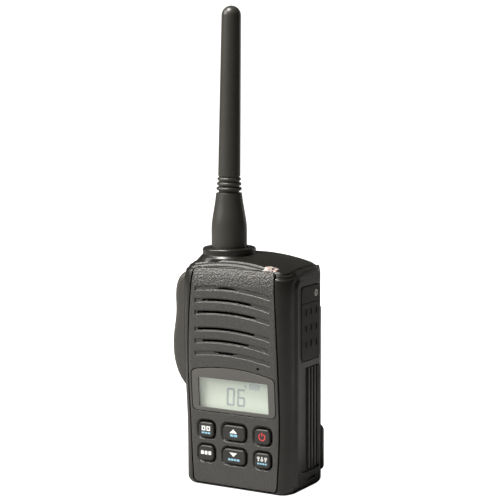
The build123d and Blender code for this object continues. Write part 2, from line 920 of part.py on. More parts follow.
with BuildPart() as keypad_membrane:
    across = (-membrane_half, membrane_half)
    block(across, (web_back, web_back + membrane_thickness), (membrane_low, membrane_high))
    for row in (key_row_low, key_row_high):
        for x in key_columns:
            rod(membrane_hole, (x, web_back, row), membrane_thickness, "Y", Mode.SUBTRACT)
save(keypad_membrane.part, "keypad_membrane")

with BuildPart() as dome_switches:
    for row in (key_row_low, key_row_high):
        for x in key_columns:
            rod(dome_radius, (x, control_front - dome_height, row), dome_height, "Y")
save(dome_switches.part, "dome_switches")

# ================================================================ boards
pillar_places = [(x, z) for x in (-pillar_x, pillar_x) for z in (pillar_low, pillar_high)]


def board(front, top):
    with BuildPart() as plate:
        with BuildSketch(Plane.XZ.offset(-front)):
            with Locations((0, (board_low + top) / 2)):
                RectangleRounded(2 * board_half, top - board_low, board_corner)
        extrude(amount=-board_thickness)
        for x, z in pillar_places:
            rod(pillar_bore, (x, front, z), board_thickness, "Y", Mode.SUBTRACT)
    return plate.part


save(board(control_front, control_top), "control_board")
save(board(rf_front, rf_top), "rf_board")

with BuildPart() as board_spacers:
    for x, z in pillar_places:
        rod(pillar_radius, (x, control_back, z), rf_front - control_back, "Y")
        rod(pillar_bore, (x, control_back, z), rf_front - control_back, "Y", Mode.SUBTRACT)
save(board_spacers.part, "board_spacers")


def screw(head, height, shank, length, slot):
    # A pan head screw: the head's underside is at the origin and the shank runs along -Z.
    with BuildPart() as body:
        rod(head, (0, 0, 0), height)
        fillet(body.faces().sort_by(Axis.Z)[-1].edges(), height / 4)
        rod(shank, (0, 0, -length), length)
        for turn in (0, 90):
            with Locations(Location((0, 0, height), (0, 0, turn))):
                Box(screw_slot_reach * head, slot, height, mode=Mode.SUBTRACT)
    return body.part


with BuildPart() as board_screws:
    length = rf_back - control_front + screw_bite - fit_gap
    piece = screw(screw_head_radius, screw_head_height, screw_radius, length, screw_slot)
    for x, z in pillar_places:
        add(Pos(x, rf_back, z) * Rot(-90, 0, 0) * piece)
save(board_screws.part, "board_screws")

with BuildPart() as board_connector:
    rows = (connector_low, connector_high)
    block((-connector_half, connector_half), (control_back, rf_front), rows)
save(board_connector.part, "board_connector")

with BuildPart() as rf_chips:
    for x, z, size in chips:
        depths = (rf_front - chip_height, rf_front)
        block((x - size / 2, x + size / 2), depths, (z - size / 2, z + size / 2))
save(rf_chips.part, "rf_chips")

with BuildPart() as rf_shield:
    block((-shield_half, shield_half), (rf_back, rf_back + shield_depth), (shield_low, shield_high))
    room = shield_half - shield_wall
    rows = (shield_low + shield_wall, shield_high - shield_wall)
    block((-room, room), (rf_back, rf_back + shield_depth - shield_wall), rows, Mode.SUBTRACT)
save(rf_shield.part, "rf_shield")

# ================================================================ display
with BuildPart() as lcd_glass:
    block((-glass_half, glass_half), (glass_front, glass_back), (glass_low, glass_high))
save(lcd_glass.part, "lcd_glass")

guide_low = glass_low + zebra_height + 2 * frame_gap
with BuildPart() as light_guide:
    block((-glass_half, glass_half), (glass_back, control_front), (guide_low, glass_high))
save(light_guide.part, "light_guide")

with BuildPart() as zebra_connector:
    block((-zebra_half, zebra_half), (glass_back, control_front), (glass_low, glass_low + zebra_height))
save(zebra_connector.part, "zebra_connector")

with BuildPart() as display_frame:
    outer = glass_half + frame_gap + frame_wall
    inner = glass_half + frame_gap
    rows = (glass_low - frame_gap - frame_wall, glass_high + frame_gap + frame_wall)
    block((-outer, outer), (glass_front, control_front), rows)
    rows = (glass_low - frame_gap, glass_high + frame_gap)
    block((-inner, inner), (glass_front, control_front), rows, Mode.SUBTRACT)
save(display_frame.part, "display_frame")

# ================================================================ sound
basket_front = speaker_seat + cloth_thickness
basket_back = basket_front + basket_depth
with BuildPart() as grille_cloth:
    rod(speaker_radius, (speaker_x, speaker_seat, speaker_z), cloth_thickness, "Y")
save(grille_cloth.part, "grille_cloth")

with BuildPart() as speaker_basket:
    rod(speaker_radius, (speaker_x, basket_front, speaker_z), basket_depth, "Y")
    inside = speaker_radius - basket_wall
    rod(inside, (speaker_x, basket_front, speaker_z), basket_depth - basket_wall, "Y", Mode.SUBTRACT)
save(speaker_basket.part, "speaker_basket")

with BuildPart() as speaker_magnet:
    rod(magnet_radius, (speaker_x, basket_back, speaker_z), magnet_depth, "Y")
save(speaker_magnet.part, "speaker_magnet")

with BuildPart() as speaker_cone:
    with BuildSketch(Plane.XY):
        with BuildLine():
            rim = speaker_radius - basket_wall - cone_gap
            deep = basket_depth - basket_wall - cone_gap
            throat = deep - cone_thickness
            lip = 2 * cone_thickness
            Polyline((0, throat), (cone_throat, throat), (rim, cone_thickness), (rim, lip))
            Polyline((rim, lip), (cone_throat, deep), (0, deep), (0, throat))
        make_face()
    revolve(axis=Axis.Y)
save(Pos(speaker_x, basket_front, speaker_z) * speaker_cone.part, "speaker_cone")

boot_front = front_at(mic_z) + panel_depth + web_depth + fit_gap
mic_front = boot_front + mic_boot_floor
with BuildPart() as mic_boot:
    rod(mic_boot_radius, (mic_x, boot_front, mic_z), control_front - boot_front, "Y")
    rod(mic_hole, (mic_x, boot_front, mic_z), mic_depth, "Y", Mode.SUBTRACT)
    rod(mic_radius, (mic_x, mic_front, mic_z), control_front - mic_front, "Y", Mode.SUBTRACT)
save(mic_boot.part, "mic_boot")

with BuildPart() as microphone:
    rod(mic_radius - fit_gap / 3, (mic_x, mic_front, mic_z), mic_depth, "Y")
save(microphone.part, "microphone")

# ================================================================ audio jacks
for name, i, bore in (("jack_lower", 0, jack_bore_low), ("jack_upper", 1, jack_bore_high)):
    z = jack_low + i * jack_pitch
    inside = body_half - inner_side - fit_gap
    with BuildPart() as jack:
        depths = (rf_back, jack_y + jack_radius)
        block((inside - jack_length, inside), depths, (z - jack_radius, z + jack_radius))
        rod(jack_nose, (inside, jack_y, z), floor - inside, "X")
        start = (inside - jack_length + jack_floor, jack_y, z)
        rod(bore, start, jack_length + inner_side, "X", Mode.SUBTRACT)
    save(jack.part, name)

# ================================================================ jack cover
cover_face = side_face + cover_proud
cover_floor = floor + fit_gap
cover_y = (recess_front + cover_gap, recess_back - cover_gap)
cover_z = (recess_divide_high + cover_gap, recess_high - cover_gap)
with BuildPart() as cover_blank:
    plate = side_outline(cover_floor, cover_y, cover_z, cover_corner)
    extrude(plate, cover_face - cover_floor, dir=(1, 0, 0))
    fillet(cover_blank.faces().sort_by(Axis.X)[-1].edges(), cover_proud * 2)

with BuildPart() as jack_cover:
    add(cover_blank.part)
    split_low = (cover_z[0], cover_split - cover_gap / 2)
    block((cover_floor, cover_face), cover_y, split_low, Mode.INTERSECT)
    for i in (-1, 0, 1):
        for k in (-1, 0, 1):
            y = cover_bar_y + i * cover_bar_pitch_y
            z = cover_bar_z + k * cover_bar_pitch_z
            wide = (y - cover_bar_width / 2, y + cover_bar_width / 2)
            tall = (z - cover_bar_height / 2, z + cover_bar_height / 2)
            block((cover_face - overlap, cover_face + cover_bar_proud), wide, tall)
    for i, bore in ((0, jack_bore_low), (1, jack_bore_high)):
        z = jack_low + i * jack_pitch
        start = (cover_floor - plug_length, jack_y, z)
        rod(bore - plug_gap, start, plug_length + overlap, "X")
save(jack_cover.part, "jack_cover")

with BuildPart() as cover_anchor:
    add(cover_blank.part)
    split_high = (cover_split + cover_gap / 2, cover_z[1])
    block((cover_floor, cover_face), cover_y, split_high, Mode.INTERSECT)
    centre = (floor, cover_screw_y, cover_screw_z)
    rod(cover_screw_shank + fit_gap / 3, centre, recess_depth + 1, "X", Mode.SUBTRACT)
    head_seat = (cover_face - cover_screw_sink, cover_screw_y, cover_screw_z)
    rod(cover_screw_radius + fit_gap, head_seat, 2, "X", Mode.SUBTRACT)
save(cover_anchor.part, "cover_anchor")

with BuildPart() as cover_screw:
    shank = cover_screw_length - cover_screw_sink
    piece = screw(cover_screw_radius, cover_screw_head, cover_screw_shank, shank, screw_slot)
    add(Pos(cover_face - cover_screw_sink, cover_screw_y, cover_screw_z) * Rot(0, 90, 0) * piece)
save(cover_screw.part, "cover_screw")

# ================================================================ push-to-talk
with BuildPart() as ptt_pad:
    with BuildSketch(Plane.XZ.offset(-ptt_back)):
        with BuildLine():
            inner_x = -body_half + ptt_seat
            top = (-body_half, ptt_top)
            bottom = (-body_half, ptt_bottom)
            lobes = (
                (ptt_shoulder, ptt_shoulder_height),
                (ptt_upper_lobe, ptt_upper_height),
                (ptt_waist, ptt_waist_height),
                (ptt_lower_lobe, ptt_lower_height),
                (ptt_chin, ptt_chin_height),
            )
            Spline(top, *lobes, bottom)
            Polyline(bottom, (inner_x, ptt_bottom), (inner_x, ptt_top), top)
        make_face()
    extrude(amount=ptt_back - ptt_front)
    rims = ptt_pad.edges().filter_by_position(Axis.X, -body_width, -body_half - ptt_seat)
    fillet(rims, ptt_round)
    rod(ptt_stem_radius, (inner_x, ptt_stem_y, ptt_stem_z), ptt_stem_end - inner_x, "X")
    collar = -body_half + inner_side + fit_gap
    rod(ptt_collar_radius, (collar, ptt_stem_y, ptt_stem_z), ptt_collar_thickness, "X")
save(ptt_pad.part, "ptt_pad")

with BuildPart() as ptt_switch:
    tip = ptt_stem_end + ptt_travel + ptt_slack
    case = (tip + ptt_button_length, tip + ptt_button_length + ptt_switch_depth)
    half = ptt_switch_side / 2
    block(case, (ptt_stem_y - half, rf_front), (ptt_stem_z - half, ptt_stem_z + half))
    rod(ptt_button_radius, (tip, ptt_stem_y, ptt_stem_z), ptt_button_length + overlap, "X")
save(ptt_switch.part, "ptt_switch")

# ================================================================ rear case and its seal
with BuildPart() as rear_case:
    add(slice_y(cavity(0, fit_gap), rear_front, split_back))
    add(slice_y(body_shape.part, split_back, body_back + 1))
    cap_low = pack_top + pack_gap
    block((-side_face, side_face), (split_back, body_back + 1), (0, cap_low), Mode.SUBTRACT)
    tub = bay_half + bay_wall
    rows = (bay_low - bay_wall, bay_high + bay_wall)
    block((-tub, tub), (bay_front - bay_wall, split_back), rows)
    block((-bay_half, bay_half), (bay_front, split_back + 1), (bay_low, bay_high), Mode.SUBTRACT)
    for i in range(contact_count):
        x = (i - (contact_count - 1) / 2) * contact_pitch
        hole = contact_width / 4 + fit_gap
        rod(hole, (x, bay_front - bay_wall, contact_z), bay_wall, "Y", Mode.SUBTRACT)
    for x in (-case_screw_x, case_screw_x):
        for z in (case_screw_low, case_screw_high):
            rod(screw_radius + fit_gap / 3, (x, rear_front, z), rear_plate, "Y", Mode.SUBTRACT)
            seat = split_back - case_head_height
            rod(case_head_radius + fit_gap, (x, seat, z), case_head_height, "Y", Mode.SUBTRACT)

    # pocket for the latch, with a way down for its nose
    wide = latch_half + latch_gap
    rows = (latch_low - latch_gap, latch_high + latch_room)
    block((-wide, wide), (latch_front - latch_gap, body_back + 1), rows, Mode.SUBTRACT)
    nose = latch_nose_half + latch_gap
    depths = (latch_front - latch_gap, latch_front + latch_nose_depth + latch_gap)
    block((-nose, nose), depths, (cap_low - 1, latch_low), Mode.SUBTRACT)
save(rear_case.part, "rear_case")

with BuildPart() as case_seal:
    add(slice_y(cavity(0, fit_gap), seal_front, rear_front))
    add(slice_y(cavity(ledge_width), seal_front, rear_front), mode=Mode.SUBTRACT)
save(case_seal.part, "case_seal")

with BuildPart() as case_screws:
    length = case_screw_reach + rear_plate - case_head_height - 2 * fit_gap
    piece = screw(case_head_radius, case_head_height, screw_radius, length, screw_slot)
    for x in (-case_screw_x, case_screw_x):
        for z in (case_screw_low, case_screw_high):
            add(Pos(x, split_back - case_head_height, z) * Rot(-90, 0, 0) * piece)
save(case_screws.part, "case_screws")

contact_places = [(i - (contact_count - 1) / 2) * contact_pitch for i in range(contact_count)]
with BuildPart() as radio_contacts:
    for x in contact_places:
        reach = pack_block_front - fit_gap - rf_back
        rod(contact_width / 4, (x, rf_back, contact_z), reach, "Y")
save(radio_contacts.part, "radio_contacts")

# ================================================================ battery pack
lid_back = pack_block_front + pack_lid
block_rows = (pack_block_low, pack_block_high)
with BuildPart() as battery_case:
    add(slice_y(form(0, 0, pack_bottom, pack_back), slab_front, pack_back + 1))
    add(slice_y(side_plate(pack_back), slab_front, pack_back + 1))
    block((-side_face, side_face), (slab_front, pack_back + 1), (0, pack_top), Mode.INTERSECT)
    outline = battery_case.faces().sort_by(Axis.Z)[-1].edges().sort_by(Axis.Y)[-1]
    chamfer(outline, pack_chamfer)
    block((-pack_half, pack_half), (lid_back, slab_front), block_rows)
    room = pack_half - pack_wall
    rows = (pack_block_low + pack_wall, pack_block_high - pack_wall)
    block((-room, room), (lid_back, pack_back - pack_back_wall), rows, Mode.SUBTRACT)
    for x in (-bracket_screw_x, bracket_screw_x):
        start = (x, pack_back - bracket_screw_bite, bracket_screw_z)
        rod(bracket_screw_radius + fit_gap / 3, start, bracket_screw_bite, "Y", Mode.SUBTRACT)
save(battery_case.part, "battery_case")

with BuildPart() as battery_lid:
    block((-pack_half, pack_half), (pack_block_front, lid_back), block_rows)
    for x in contact_places:
        pad = (x - contact_width / 2, x + contact_width / 2)
        rows = (contact_z - contact_height / 2, contact_z + contact_height / 2)
        block(pad, (pack_block_front, pack_block_front + contact_thickness), rows, Mode.SUBTRACT)
save(battery_lid.part, "battery_lid")

with BuildPart() as battery_contacts:
    for x in contact_places:
        pad = (x - contact_width / 2, x + contact_width / 2)
        rows = (contact_z - contact_height / 2, contact_z + contact_height / 2)
        block(pad, (pack_block_front, pack_block_front + contact_thickness), rows)
save(battery_contacts.part, "battery_contacts")

with BuildPart() as battery_cells:
    wide = (2 * (pack_half - pack_wall) - (cell_count + 1) * cell_gap) / cell_count
    for i in range(cell_count):
        left = -pack_half + pack_wall + cell_gap + i * (wide + cell_gap)
        depths = (lid_back, pack_back - pack_back_wall - cell_gap)
        rows = (pack_block_low + pack_wall, pack_block_high - pack_wall - cell_gap)
        block((left, left + wide), depths, rows)
save(battery_cells.part, "battery_cells")

# ================================================================ battery latch
with BuildPart() as battery_latch:
    block((-latch_half, latch_half), (latch_front, body_back + latch_proud), (latch_low, latch_high))
    for i in range(latch_rib_count):
        z = (latch_low + latch_high) / 2 + (i - (latch_rib_count - 1) / 2) * latch_rib_pitch
        rows = (z - latch_rib_width / 2, z + latch_rib_width / 2)
        face = body_back + latch_proud
        wide = latch_half - latch_rib_inset
        block((-wide, wide), (face - overlap, face + latch_rib_depth), rows)
    depths = (latch_front, latch_front + latch_nose_depth)
    block((-latch_nose_half, latch_nose_half), depths, (pack_top + pack_gap, latch_low))
save(battery_latch.part, "battery_latch")

latch_spring_pitch = (latch_room - 4 * spring_wire) / spring_turns
spring_place = Pos(0, (latch_front + body_back) / 2, latch_high + 2 * spring_wire)
latch_spring = helix_wire(spring_radius, spring_wire, latch_spring_pitch, spring_turns, spring_place)
save(latch_spring, "latch_spring")

# ================================================================ belt clip
bracket_back = pack_back + bracket_plate
ear_inner = clip_arm_half + clip_ear_gap
ear_outer = ear_inner + clip_ear_thickness
pivot = (clip_pivot_y, clip_pivot_z)
with BuildPart() as clip_bracket:
    with BuildSketch(Plane.XZ.offset(-bracket_back)):
        with Locations((0, (bracket_low + bracket_high) / 2)):
            RectangleRounded(2 * bracket_half, bracket_high - bracket_low, clip_corner)
    extrude(amount=bracket_plate)
    for side in (-1, 1):
        with BuildSketch(Plane.YZ.offset(side * ear_inner)):
            root = bracket_back - overlap
            with Locations(((root + clip_pivot_y) / 2, clip_pivot_z)):
                Rectangle(clip_pivot_y - root, 2 * clip_knuckle)
            with Locations(pivot):
                Circle(clip_knuckle)
                Circle(clip_pin_radius, mode=Mode.SUBTRACT)
        extrude(amount=side * clip_ear_thickness)
    for x in (-bracket_screw_x, bracket_screw_x):
        start = (x, pack_back, bracket_screw_z)
        rod(bracket_screw_radius + fit_gap / 3, start, bracket_plate, "Y", Mode.SUBTRACT)
save(clip_bracket.part, "clip_bracket")

with BuildPart() as belt_clip:
    with BuildSketch(Plane.YZ.offset(-clip_half)):
        with BuildLine():
            arm = clip_pivot_y + clip_arm_offset
            tab = arm + clip_arm_offset
            thick = clip_thickness
            back = clip_back
            knee = clip_high + clip_knee
            top = (tab, clip_tab_top)
            end = (back, clip_low)
            Polyline(top, (arm, clip_pivot_z), (back - thick, knee), (back - thick, clip_low), end)
            Polyline(end, (back, knee), (arm + thick, clip_pivot_z), (tab + thick, clip_tab_top), top)
        make_face()
    extrude(amount=2 * clip_half)
    with BuildSketch(Plane.XZ) as face:
        with Locations((0, (clip_low + clip_high) / 2)):
            RectangleRounded(2 * clip_half, clip_high - clip_low, clip_corner)
        with Locations((0, (clip_high + clip_tab_top) / 2 - clip_corner)):
            arm_height = clip_tab_top - clip_high + 2 * clip_corner
            RectangleRounded(2 * clip_arm_half, arm_height, clip_corner)
    with BuildPart(mode=Mode.PRIVATE) as outline:
        extrude(face.sketch, amount=2 * clip_back, dir=(0, 1, 0))
    add(outline.part, mode=Mode.INTERSECT)
    rod(clip_knuckle, (-clip_arm_half, *pivot), 2 * clip_arm_half, "X")
    room = clip_spring_half
    rod(clip_spring_radius + clip_spring_wire + fit_gap, (-room, *pivot), 2 * room, "X", Mode.SUBTRACT)
    with Locations((0, clip_pivot_y - clip_knuckle / 2, clip_pivot_z)):
        Box(2 * room, clip_knuckle, 2 * clip_knuckle, mode=Mode.SUBTRACT)
    bore = clip_pin_radius + clip_pin_gap
    rod(bore, (-clip_arm_half, *pivot), 2 * clip_arm_half, "X", Mode.SUBTRACT)
save(belt_clip.part, "belt_clip")

with BuildPart() as clip_pin:
    rod(clip_pin_radius, (-ear_outer, *pivot), 2 * ear_outer, "X")
save(clip_pin.part, "clip_pin")

clip_spring_pitch = 2 * (clip_spring_half - 2 * clip_spring_wire) / clip_spring_turns
start = -clip_spring_pitch * clip_spring_turns / 2
spring_place = Pos(start, *pivot) * Rot(0, 90, 0)
clip_spring = helix_wire(
    clip_spring_radius, clip_spring_wire, clip_spring_pitch, clip_spring_turns, spring_place)
save(clip_spring, "clip_spring")

with BuildPart() as clip_screws:
    length = bracket_plate + bracket_screw_bite - fit_gap
    piece = screw(bracket_screw_head, bracket_screw_height, bracket_screw_radius, length, screw_slot)
    for x in (-bracket_screw_x, bracket_screw_x):
        add(Pos(x, bracket_back, bracket_screw_z) * Rot(-90, 0, 0) * piece)
save(clip_screws.part, "clip_screws")

# ================================================================ antenna
axis_place = Pos(antenna_x, antenna_y, 0)
lean = Pos(0, 0, taper_top) * Rot(0, whip_lean, 0) * Pos(0, 0, -taper_top)

with BuildPart() as whip:
    with BuildSketch(Plane.XZ):
        with Locations((ring_core / 2, (taper_top + whip_low) / 2)):
            Rectangle(ring_core, whip_low - taper_top + 2 * overlap)
        for i in range(ring_count):
            radius = ring_first_radius + (ring_last_radius - ring_first_radius) * i / (ring_count - 1)
            with Locations(((radius - ring_half_height) / 2, ring_first + i * ring_pitch)):
                SlotOverall(radius + ring_half_height, 2 * ring_half_height)
        with BuildLine():
            dome_foot = whip_top - whip_top_radius
            shoulder = (whip_top_radius, dome_foot)
            Polyline((0, dome_foot), (0, whip_low), (whip_low_radius, whip_low), shoulder)
            tip = (whip_top_radius * sin(pi / 4), dome_foot + whip_top_radius * cos(pi / 4))
            ThreePointArc(shoulder, tip, (0, whip_top))
            Line((0, whip_top), (0, dome_foot))
        make_face()
        with Locations((body_half, whip_top / 2)):
            Rectangle(2 * body_half, whip_top + 1, mode=Mode.INTERSECT)
    revolve(axis=Axis.Z)

with BuildPart() as antenna_sheath:
    with BuildSketch(Plane.XZ):
        with BuildLine():
            skirt = (skirt_radius, skirt_top)
            middle = (taper_mid_radius, taper_mid)
            end = (taper_top_radius, taper_top)
            Polyline((0, taper_top), (0, skirt_bottom), (skirt_radius, skirt_bottom), skirt)
            Spline(skirt, middle, end, tangents=((0, 1), (-0.1, 1)))
            Line(end, (0, taper_top))
        make_face()
    revolve(axis=Axis.Z)
    add(lean * whip.part)
    head_room = stud_head_height + fit_gap
    rod(stud_head_radius + fit_gap / 3, (0, 0, skirt_bottom), head_room, "Z", Mode.SUBTRACT)
    coil_top = taper_top - rod_root
    rod(coil_room, (0, 0, skirt_bottom), coil_top - skirt_bottom, "Z", Mode.SUBTRACT)
    with BuildPart(mode=Mode.PRIVATE) as rod_bore:
        rod(rod_radius + rod_gap, (0, 0, coil_top - overlap), rod_top + rod_gap - coil_top + overlap)
    add(lean * rod_bore.part, mode=Mode.SUBTRACT)
save(axis_place * antenna_sheath.part, "antenna_sheath")

with BuildPart() as antenna_rod:
    rod(rod_radius, (0, 0, coil_top - overlap), rod_top - coil_top + overlap)
save(axis_place * lean * antenna_rod.part, "antenna_rod")

with BuildPart() as antenna_stud:
    rod(stud_radius, (0, 0, stud_bottom), skirt_bottom - stud_bottom)
    rod(stud_head_radius, (0, 0, skirt_bottom), stud_head_height)
save(axis_place * antenna_stud.part, "antenna_stud")

coil_place = axis_place * Pos(0, 0, skirt_bottom + stud_head_height + coil_wire + fit_gap)
antenna_coil = helix_wire(coil_radius, coil_wire, coil_pitch, coil_turns, coil_place)
save(antenna_coil, "antenna_coil")

with BuildPart() as antenna_washer:
    height = skirt_bottom - antenna_seat + washer_groove
    rod(washer_outer, (0, 0, antenna_seat - washer_groove), height)
    rod(washer_inner, (0, 0, antenna_seat - washer_groove), height, "Z", Mode.SUBTRACT)
save(axis_place * antenna_washer.part, "antenna_washer")

with BuildPart() as antenna_socket:
    height = antenna_seat - washer_groove - socket_bottom
    rod(socket_radius, (0, 0, socket_bottom), height)
    rod(socket_bore, (0, 0, socket_bottom + socket_floor), height, "Z", Mode.SUBTRACT)
save(axis_place * antenna_socket.part, "antenna_socket")
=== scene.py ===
import bmesh
import bpy
import json
from math import cos, pi, radians, sin
from mathutils import Matrix, Vector


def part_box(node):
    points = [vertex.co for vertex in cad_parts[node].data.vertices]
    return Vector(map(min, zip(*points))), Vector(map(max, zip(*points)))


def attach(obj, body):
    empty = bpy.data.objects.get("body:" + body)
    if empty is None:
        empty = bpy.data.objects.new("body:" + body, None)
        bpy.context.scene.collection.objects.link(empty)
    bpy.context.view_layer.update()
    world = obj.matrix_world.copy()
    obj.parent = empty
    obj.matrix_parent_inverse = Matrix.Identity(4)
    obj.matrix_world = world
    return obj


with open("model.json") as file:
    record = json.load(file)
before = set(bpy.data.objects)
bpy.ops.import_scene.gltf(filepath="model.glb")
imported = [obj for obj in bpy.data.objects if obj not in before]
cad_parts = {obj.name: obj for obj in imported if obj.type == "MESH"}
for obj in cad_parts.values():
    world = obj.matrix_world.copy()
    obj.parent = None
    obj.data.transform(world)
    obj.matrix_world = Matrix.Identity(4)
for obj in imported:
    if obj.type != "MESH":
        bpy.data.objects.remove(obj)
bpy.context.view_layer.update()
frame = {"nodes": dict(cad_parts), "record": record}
nodes = frame["nodes"]
slotOf = {part["node"]: part["material_slot"] for part in frame["record"]["subparts"]}
mm = 0.001
print("frame loaded:", len(nodes), "nodes")

# where the camera stands; angles in degrees, lengths in metres
camera = {
    "azimuth": 30.476,  # round from the front, towards +X
    "elevation": 7.097,
    "roll": 0.222,
    "distance": 0.78025,
    "slideRight": -0.00071,
    "slideUp": 0.10885,
    "lift": 0.0047,
    "focal": 115.15,  # millimetres, as the sensor
    "sensor": 36.0,
    "nearest": 0.01,
    "furthest": 30.0,
}


def addCamera(view):
    a, e, r = (radians(view[k]) for k in ("azimuth", "elevation", "roll"))
    right = Vector((cos(a), sin(a), 0))
    back = Vector((sin(a) * cos(e), -cos(a) * cos(e), sin(e)))
    up = back.cross(right)
    place = back * view["distance"] + right * view["slideRight"] + up * view["slideUp"]
    place.z += view["lift"]
    turned = (right * cos(r) - up * sin(r), right * sin(r) + up * cos(r), back)
    data = bpy.data.cameras.new("camera")
    data.lens = view["focal"]
    data.sensor_width = view["sensor"]
    data.clip_start = view["nearest"]
    data.clip_end = view["furthest"]
    item = bpy.data.objects.new("camera", data)
    item.matrix_world = Matrix.Translation(place) @ Matrix(turned).transposed().to_4x4()
    bpy.context.scene.collection.objects.link(item)
    bpy.context.scene.camera = item


# softboxes: place and edge length in metres, power in watts
studio = {
    "lamps": {
        "keySoftbox": {"place": (-1.1, -0.75, 0.95), "size": 0.8, "power": 21},
        "upperSoftbox": {"place": (-0.30, -0.44, 1.3), "size": 0.5, "power": 37},
        "sheenSoftbox": {"place": (-0.75, -0.95, 0.75), "size": 0.3, "power": 5},
        "rimSoftbox": {"place": (0.25, 1.4, 0.3), "size": 0.5, "power": 1},
    },
    "aim": (0, 0, 0.09),  # the point that all of them face
    "warmth": (1.0, 0.975, 0.93),
    "worldSeen": 1.0,  # strength where the camera looks past the floor
    "worldLight": 0.02,  # strength of the light from all round
}


def addSoftbox(name, place, size, power):
    data = bpy.data.lights.new(name, "AREA")
    data.shape = "SQUARE"
    data.size = size
    data.energy = power
    data.color = studio["warmth"]
    lamp = bpy.data.objects.new(name, data)
    lamp.location = place
    toward = Vector(studio["aim"]) - Vector(place)
    lamp.rotation_mode = "QUATERNION"
    lamp.rotation_quaternion = toward.to_track_quat("-Z", "Y")
    bpy.context.scene.collection.objects.link(lamp)


def addWorld():
    world = bpy.data.worlds.new("studio")
    bpy.context.scene.world = world
    world.use_nodes = True
    tree = world.node_tree
    tree.nodes.clear()
    both = tree.nodes.new("ShaderNodeMixShader")
    for strength, socket in (("worldLight", 1), ("worldSeen", 2)):
        sky = tree.nodes.new("ShaderNodeBackground")
        sky.inputs["Color"].default_value = (1, 1, 1, 1)
        sky.inputs["Strength"].default_value = studio[strength]
        tree.links.new(sky.outputs[0], both.inputs[socket])
    ray = tree.nodes.new("ShaderNodeLightPath")
    out = tree.nodes.new("ShaderNodeOutputWorld")
    tree.links.new(ray.outputs["Is Camera Ray"], both.inputs["Fac"])
    tree.links.new(both.outputs[0], out.inputs["Surface"])


addCamera(camera)
for name, lamp in studio["lamps"].items():
    addSoftbox(name, **lamp)
addWorld()
bpy.context.scene.view_settings.view_transform = "Standard"
print("camera and studio set")


def setInputs(node, values):
    for label, value in values.items():
        node.inputs[label].default_value = value


# inputs are (name, socket type, usual value); every output is a value over the surface
def newGroup(name, inputs, outputs):
    group = bpy.data.node_groups.new(name, "ShaderNodeTree")
    for label, kind, value in inputs:
        item = group.interface.new_socket(name=label, in_out="INPUT", socket_type=kind)
        if value is not None:
            item.default_value = value
    for label in outputs:
        group.interface.new_socket(name=label, in_out="OUTPUT", socket_type="NodeSocketFloat")
    return group, group.nodes.new("NodeGroupInput"), group.nodes.new("NodeGroupOutput")


vectorSocket = "NodeSocketVector"
floatSocket = "NodeSocketFloat"

# fine moulded texture: pits and soft bumps, with a tone that follows them
grainEffect = {
    "noise": {"Detail": 2.0, "Roughness": 0.6},
    "cells": {"Randomness": 1.0},
    "tone": {"From Min": 0.3, "From Max": 0.7},
}


def makeGrain():
    group, given, result = newGroup(
        "mouldedGrain",
        [("Vector", vectorSocket, None), ("Scale", floatSocket, 2500.0), ("Pits", floatSocket, 0.5)],
        ["Height", "Tone"],
    )
    add, link = group.nodes.new, group.links.new
    noise = add("ShaderNodeTexNoise")
    setInputs(noise, grainEffect["noise"])
    cells = add("ShaderNodeTexVoronoi")
    setInputs(cells, grainEffect["cells"])
    tone = add("ShaderNodeMapRange")
    setInputs(tone, grainEffect["tone"])
    blend = add("ShaderNodeMix")
    for texture in (noise, cells):
        link(given.outputs["Vector"], texture.inputs["Vector"])
        link(given.outputs["Scale"], texture.inputs["Scale"])
    link(given.outputs["Pits"], blend.inputs["Factor"])
    link(noise.outputs[0], blend.inputs["A"])
    link(cells.outputs["Distance"], blend.inputs["B"])
    link(blend.outputs["Result"], result.inputs["Height"])
    link(noise.outputs[0], tone.inputs["Value"])
    link(tone.outputs["Result"], result.inputs["Tone"])
    return group


# broad soft patches, where hands have polished or dulled the surface
handlingEffect = {
    "noise": {"Detail": 3.0, "Roughness": 0.55, "Distortion": 0.6},
    "spread": {"From Min": 0.35, "From Max": 0.68},
}


def makeHandling():
    group, given, result = newGroup(
        "handling",
        [("Vector", vectorSocket, None), ("Scale", floatSocket, 40.0)],
        ["Wear"],
    )
    add, link = group.nodes.new, group.links.new
    noise = add("ShaderNodeTexNoise")
    setInputs(noise, handlingEffect["noise"])
    spread = add("ShaderNodeMapRange")
    setInputs(spread, handlingEffect["spread"])
    link(given.outputs["Vector"], noise.inputs["Vector"])
    link(given.outputs["Scale"], noise.inputs["Scale"])
    link(noise.outputs[0], spread.inputs["Value"])
    link(spread.outputs["Result"], result.inputs["Wear"])
    return group


# short fine lines along one axis, for drawn or turned metal
brushingEffect = {"Scale": 300.0, "Detail": 3.0}


def makeBrushing():
    group, given, result = newGroup(
        "brushing",
        [("Vector", vectorSocket, None), ("Squeeze", vectorSocket, (1.0, 1.0, 20.0))],
        ["Lines"],
    )
    add, link = group.nodes.new, group.links.new
    squeezed = add("ShaderNodeVectorMath")
    squeezed.operation = "MULTIPLY"
    noise = add("ShaderNodeTexNoise")
    setInputs(noise, brushingEffect)
    link(given.outputs["Vector"], squeezed.inputs[0])
    link(given.outputs["Squeeze"], squeezed.inputs[1])
    link(squeezed.outputs["Vector"], noise.inputs["Vector"])
    link(noise.outputs[0], result.inputs["Lines"])
    return group


grainGroup = makeGrain()
handlingGroup = makeHandling()
brushingGroup = makeBrushing()
print("shader groups made")


def startMaterial(name):
    material = bpy.data.materials.new(name)
    material.use_nodes = True
    tree = material.node_tree
    tree.nodes.clear()
    shader = tree.nodes.new("ShaderNodeBsdfPrincipled")
    out = tree.nodes.new("ShaderNodeOutputMaterial")
    where = tree.nodes.new("ShaderNodeTexCoord")
    tree.links.new(shader.outputs["BSDF"], out.inputs["Surface"])
    return material, tree, shader, where.outputs["Object"]


